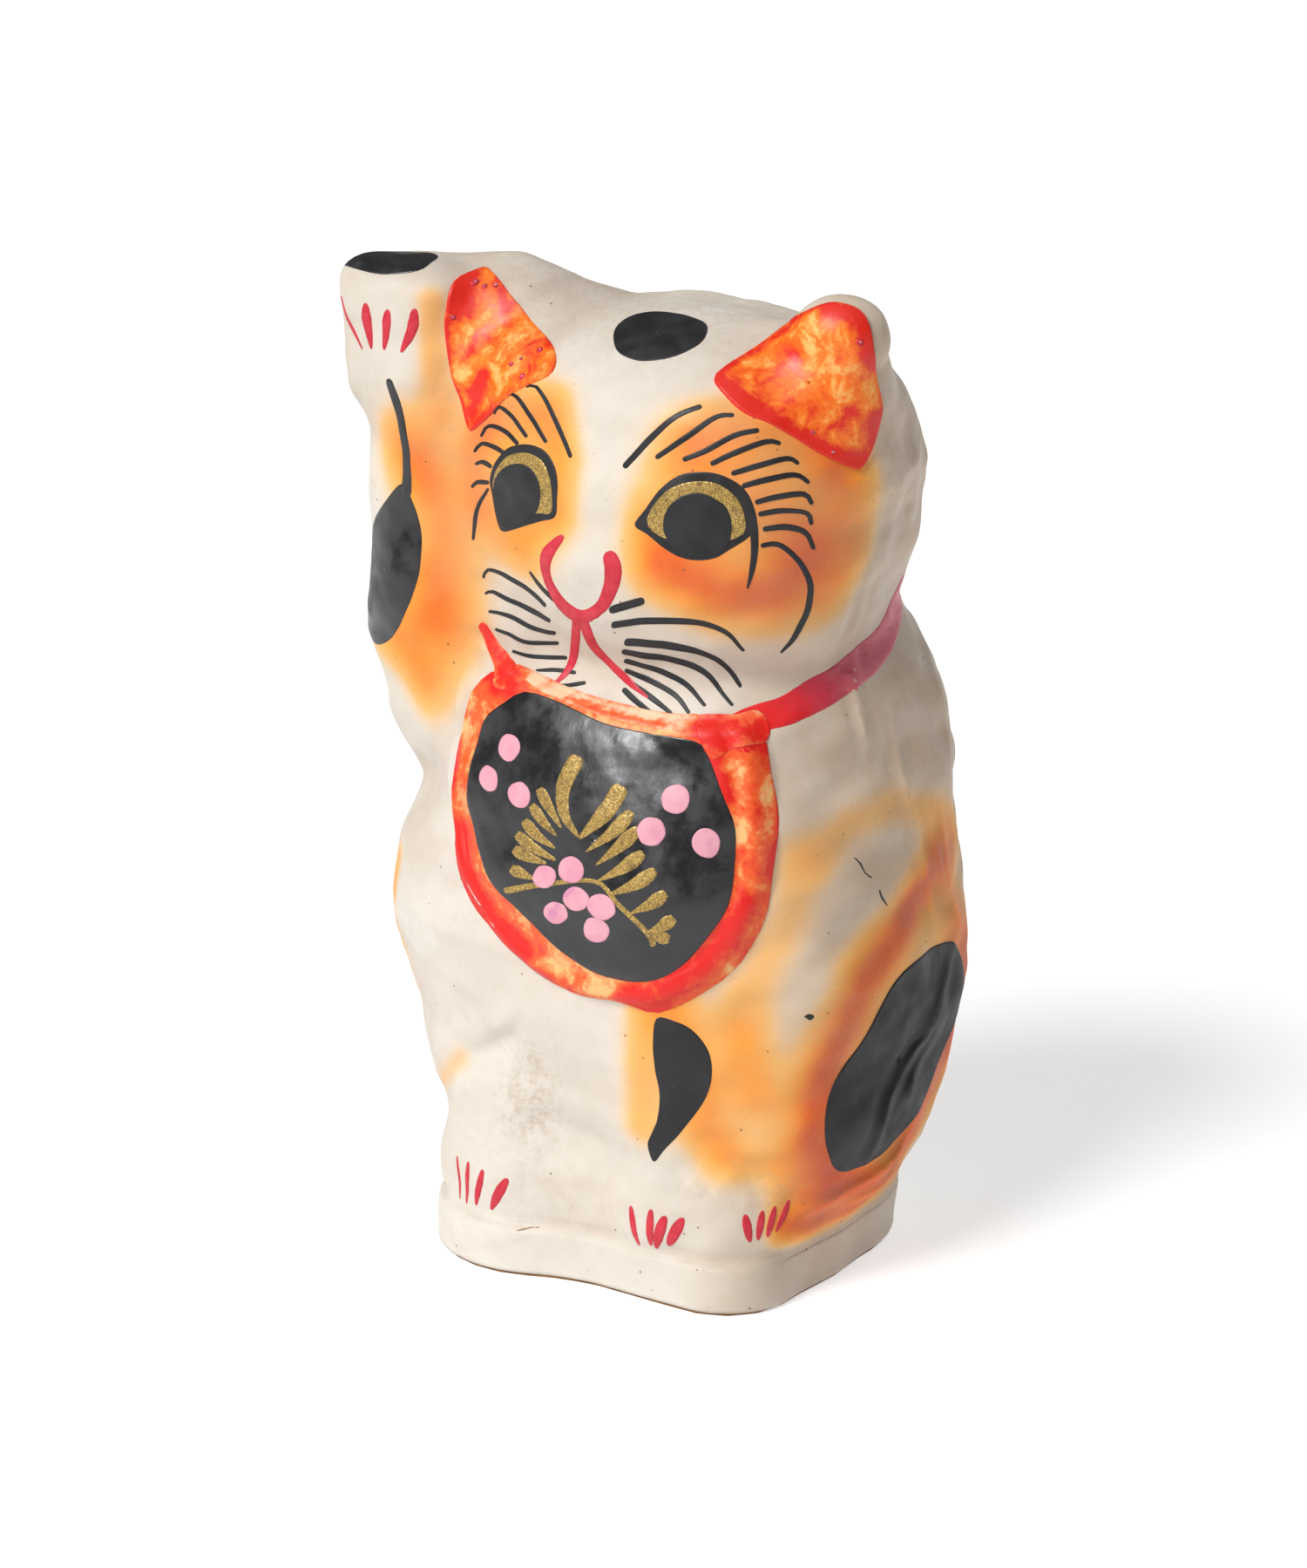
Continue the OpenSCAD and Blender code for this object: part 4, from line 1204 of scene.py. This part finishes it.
def collar(red, dye):
    """The painted band, from the bib's left knot across the back to the raised leg, and both knots."""
    film = Film("collar_paint", red)
    film.stroke([(1, 139), (8, 143.5), (15, 145), (23.5, 147.8), (33, 151.3), (42, 154.5), (49.5, 160.5),
        (55, 167)], (9, 6.5, 7, 8.2, 8.5, 8, 7.5, 7.5), NECK, start=0.3, end=0.1)
    film.stroke([(-50, 166), (-36, 169), (-18, 171), (0, 171.5), (18, 171), (32, 170), (44, 168)],
        (7.5, 7.5, 7, 7, 7, 7, 7), BACK, start=0.1, end=0.4)
    knots = Film("collar_chin_paint", dye, ((((-44, 147), (-39, 138), (-36, 132)), 2.8, 1.0),
        (((8, 120), (21, 121)), 4.5, 1.0), (((-24, 128.4), (-8, 123.6), (2, 121.6)), 0.7, 0.4)))
    knots.stroke([(-44.4, 147.3), (-43.2, 144.6), (-41.3, 141), (-39, 137.4), (-37.6, 133.6)],
        (2.2, 2.8, 3.6, 5.0, 7.5), VIEW, end=0.3)
    knots.stroke([(-36.5, 136.3), (-27.7, 131.3), (-17.9, 127.4), (-7.2, 124.5), (1.2, 122.9),
        (8.4, 123)], (2.6, 4.2, 4.4, 4.6, 4.8, 4.2), VIEW)
    knots.blot(ellipse(-37, 133.6, 4.2, 2.6, 20), VIEW)
    knots.blot([(6.7, 124.2), (11, 124.9), (16, 125), (21, 126), (23.6, 122.6), (22.6, 118.6),
        (18.6, 117.6), (14, 116.4), (10.4, 114.4), (8, 117.4), (6.8, 120.6)], VIEW)
    return [film, knots]


# ---------------------------------------------------------------- pieces
def paper_band(material):
    """The strip round the plinth. Its loose end laps over its start with a slanting edge at the front."""
    around, levels = 420, 14
    angle = np.linspace(0, 2 * math.pi, around, endpoint=False)
    z = np.linspace(BAND_LOW, BAND_TOP, levels)
    ahead = np.stack([np.sin(angle), -np.cos(angle), 0 * angle], 1)
    t = np.full((levels, around), 95.0)
    for _ in range(50):
        p = np.stack([t * ahead[:, 0], JOINT_Y + t * ahead[:, 1], np.repeat(z[:, None], around, 1)], -1)
        t = t - np.clip(skin(p) * 0.85, -3, 12)
    n = normals(skin, p)
    n[..., 2] = 0
    lap_x = -26 + 23 * smooth((z[:, None] - BAND_LOW) / 12)       # the slanting end, left low to right high
    over = smooth((lap_x - p[..., 0]) / 0.8) * (p[..., 1] < 0) * smooth((p[..., 0] + 60) / 20)
    rise = 0.06 + over * 0.28
    rise[-1] = -0.06
    outer = p + n * rise[..., None]
    inner = p - n * (BAND_T - 0.02)
    m = levels * around
    faces = both_sides(levels, around, True)
    top = (levels - 1) * around
    for j in range(around):
        b = (j + 1) % around
        faces += [(b, j, m + j, m + b), (top + j, top + b, m + top + b, m + top + j)]
    piece = mesh_object("paper_band", np.concatenate([outer.reshape(-1, 3), inner.reshape(-1, 3)]), faces,
        None, material)
    mark_shell(piece)
    return piece


def shells(material):
    low, high = (-83, -60, -3), (75, 70, 246)
    values = sample_field(cat, low, high)
    points, quads = surface_net(values, low, GRID / FINE)
    points = settle(shell_skin, points)
    made = []
    for name, side in (("front_shell_painted", -1), ("rear_shell_painted", 1)):
        piece = half_shell(name, points, quads, side, material)
        mark_shell(piece)
        made.append(piece)
    return made


def add(piece, slot, *replaced):
    """Rides a piece on the body and hides the CAD pieces it stands for. slot is not used."""
    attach(piece, "root")
    if replaced:
        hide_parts(*replaced)


def build_cat():
    ground = painted_skin()
    front, rear = shells(ground)
    add(front, "painted_paper", "front_shell")
    add(rear, "painted_paper", "rear_shell")
    add(paper_band(ground), "painted_paper", "base_strip")
    satin = black_paint("black_satin_paint", 0.42, 0.2, 0.35)
    glossy = black_paint("black_glossy_paint", 0.22, 0.3, 0.6)
    crimson = crimson_paint()
    gold = gold_paint()
    pink = pink_paint()
    ear_dye = watery_paint("ear_dye", rgb(214, 34, 18), rgb(240, 118, 20), rgb(238, 180, 100), 6, 0.01)
    border_dye = watery_paint("bib_border_dye", rgb(216, 26, 18), rgb(232, 96, 38), rgb(232, 176, 112), 8,
        -0.02)
    chin_dye = watery_paint("chin_dye", rgb(218, 30, 18), rgb(232, 112, 60), rgb(226, 188, 152), 7, -0.08)
    films = eyes(satin, gold) + [lashes(satin), whiskers(satin), nose_and_mouth(crimson), claws(crimson)]
    films += black_spots(satin) + [glossy_marks(glossy), cracks(satin),
        band_end(raw_paper())] + ears(ear_dye, crimson, pink)
    films += bib_paint(glossy, border_dye) + bib_flowers(pink, gold) + collar(collar_paint(), chin_dye)
    for film in films:
        add(film.build(), "painted_paper")


def dress_frame():
    """Procedural materials for the CAD pieces that stay as they are."""
    looks = {"base_board": raw_card(), "clay_weight": dried_clay()}
    paper = raw_paper()
    for node in ("seam_strip_left", "seam_strip_right", "seam_strip_crown"):
        looks[node] = paper
    for node, material in looks.items():
        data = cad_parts[node].data
        data.materials.clear()
        data.materials.append(material)


# ---------------------------------------------------------------- stage
def floor():
    """A white table lit a little from below, so that it stays pale under the cat's shadow."""
    m = Paint("studio_floor")
    colour = m.mix(m.step(m.noise(60, 2), 0.4, 0.6), rgb(204, 204, 205), rgb(202, 202, 202))
    m.shader.inputs["Emission Color"].default_value = (1, 1, 1, 1)
    m.shader.inputs["Emission Strength"].default_value = 0.56
    material = m.finish(colour, 0.9, specular=0.1)
    bm = bmesh.new()
    bmesh.ops.create_grid(bm, x_segments=2, y_segments=2, size=9)
    mesh = bpy.data.meshes.new("floor")
    bm.to_mesh(mesh)
    bm.free()
    mesh.materials.append(material)
    piece = bpy.data.objects.new("floor", mesh)
    bpy.context.scene.collection.objects.link(piece)


def sun(name, travel, strength, spread):
    """Parallel light that travels along a direction from a soft source spread degrees wide."""
    data = bpy.data.lights.new(name, "SUN")
    data.energy, data.angle = strength, math.radians(spread)
    made = bpy.data.objects.new(name, data)
    made.rotation_euler = Vector(travel).to_track_quat("-Z", "Y").to_euler()
    made.location = -Vector(travel) * 2
    bpy.context.scene.collection.objects.link(made)


def lights():
    sun("key", (0.167, 0.674, -0.719), 3.45, 27)
    sun("overhead", (-0.15, 0.3, -1.0), 0.25, 80)
    sun("back", (-0.1, -0.9, -0.55), 0.7, 40)
    world = bpy.data.worlds.new("studio")
    world.use_nodes = True
    world.node_tree.nodes["Background"].inputs[0].default_value = (1, 1, 1, 1)
    world.node_tree.nodes["Background"].inputs[1].default_value = 0.08
    bpy.context.scene.world = world
    bpy.context.scene.view_settings.view_transform = "Standard"


CAMERA_YAW, CAMERA_PITCH = math.radians(35), math.radians(17.3)
CAMERA_AWAY, CAMERA_HEIGHT = 1.0, 0.425
CAMERA_SIDE = 0.0033     # how far it stands to the left of the line to the origin


def camera():
    """Looks down 17.3 degrees on the cat's front from 35 degrees to its left."""
    yaw, pitch = CAMERA_YAW, CAMERA_PITCH
    right = Vector((math.cos(yaw), math.sin(yaw), 0))
    ahead = Vector((-math.sin(yaw) * math.cos(pitch), math.cos(yaw) * math.cos(pitch), -math.sin(pitch)))
    level = Vector((-math.sin(yaw), math.cos(yaw), 0))
    up = right.cross(ahead)
    data = bpy.data.cameras.new("camera")
    data.sensor_width = 36
    data.lens = 98.66
    data.clip_start, data.clip_end = 0.05, 30
    made = bpy.data.objects.new("camera", data)
    turn = Matrix((right, up, -ahead)).transposed().to_4x4()
    made.matrix_world = Matrix.Translation(-level * CAMERA_AWAY - right * CAMERA_SIDE
        + Vector((0, 0, CAMERA_HEIGHT))) @ turn
    bpy.context.scene.collection.objects.link(made)
    bpy.context.scene.camera = made


camera()
lights()
floor()
build_cat()
dress_frame()

bpy.context.view_layer.update()
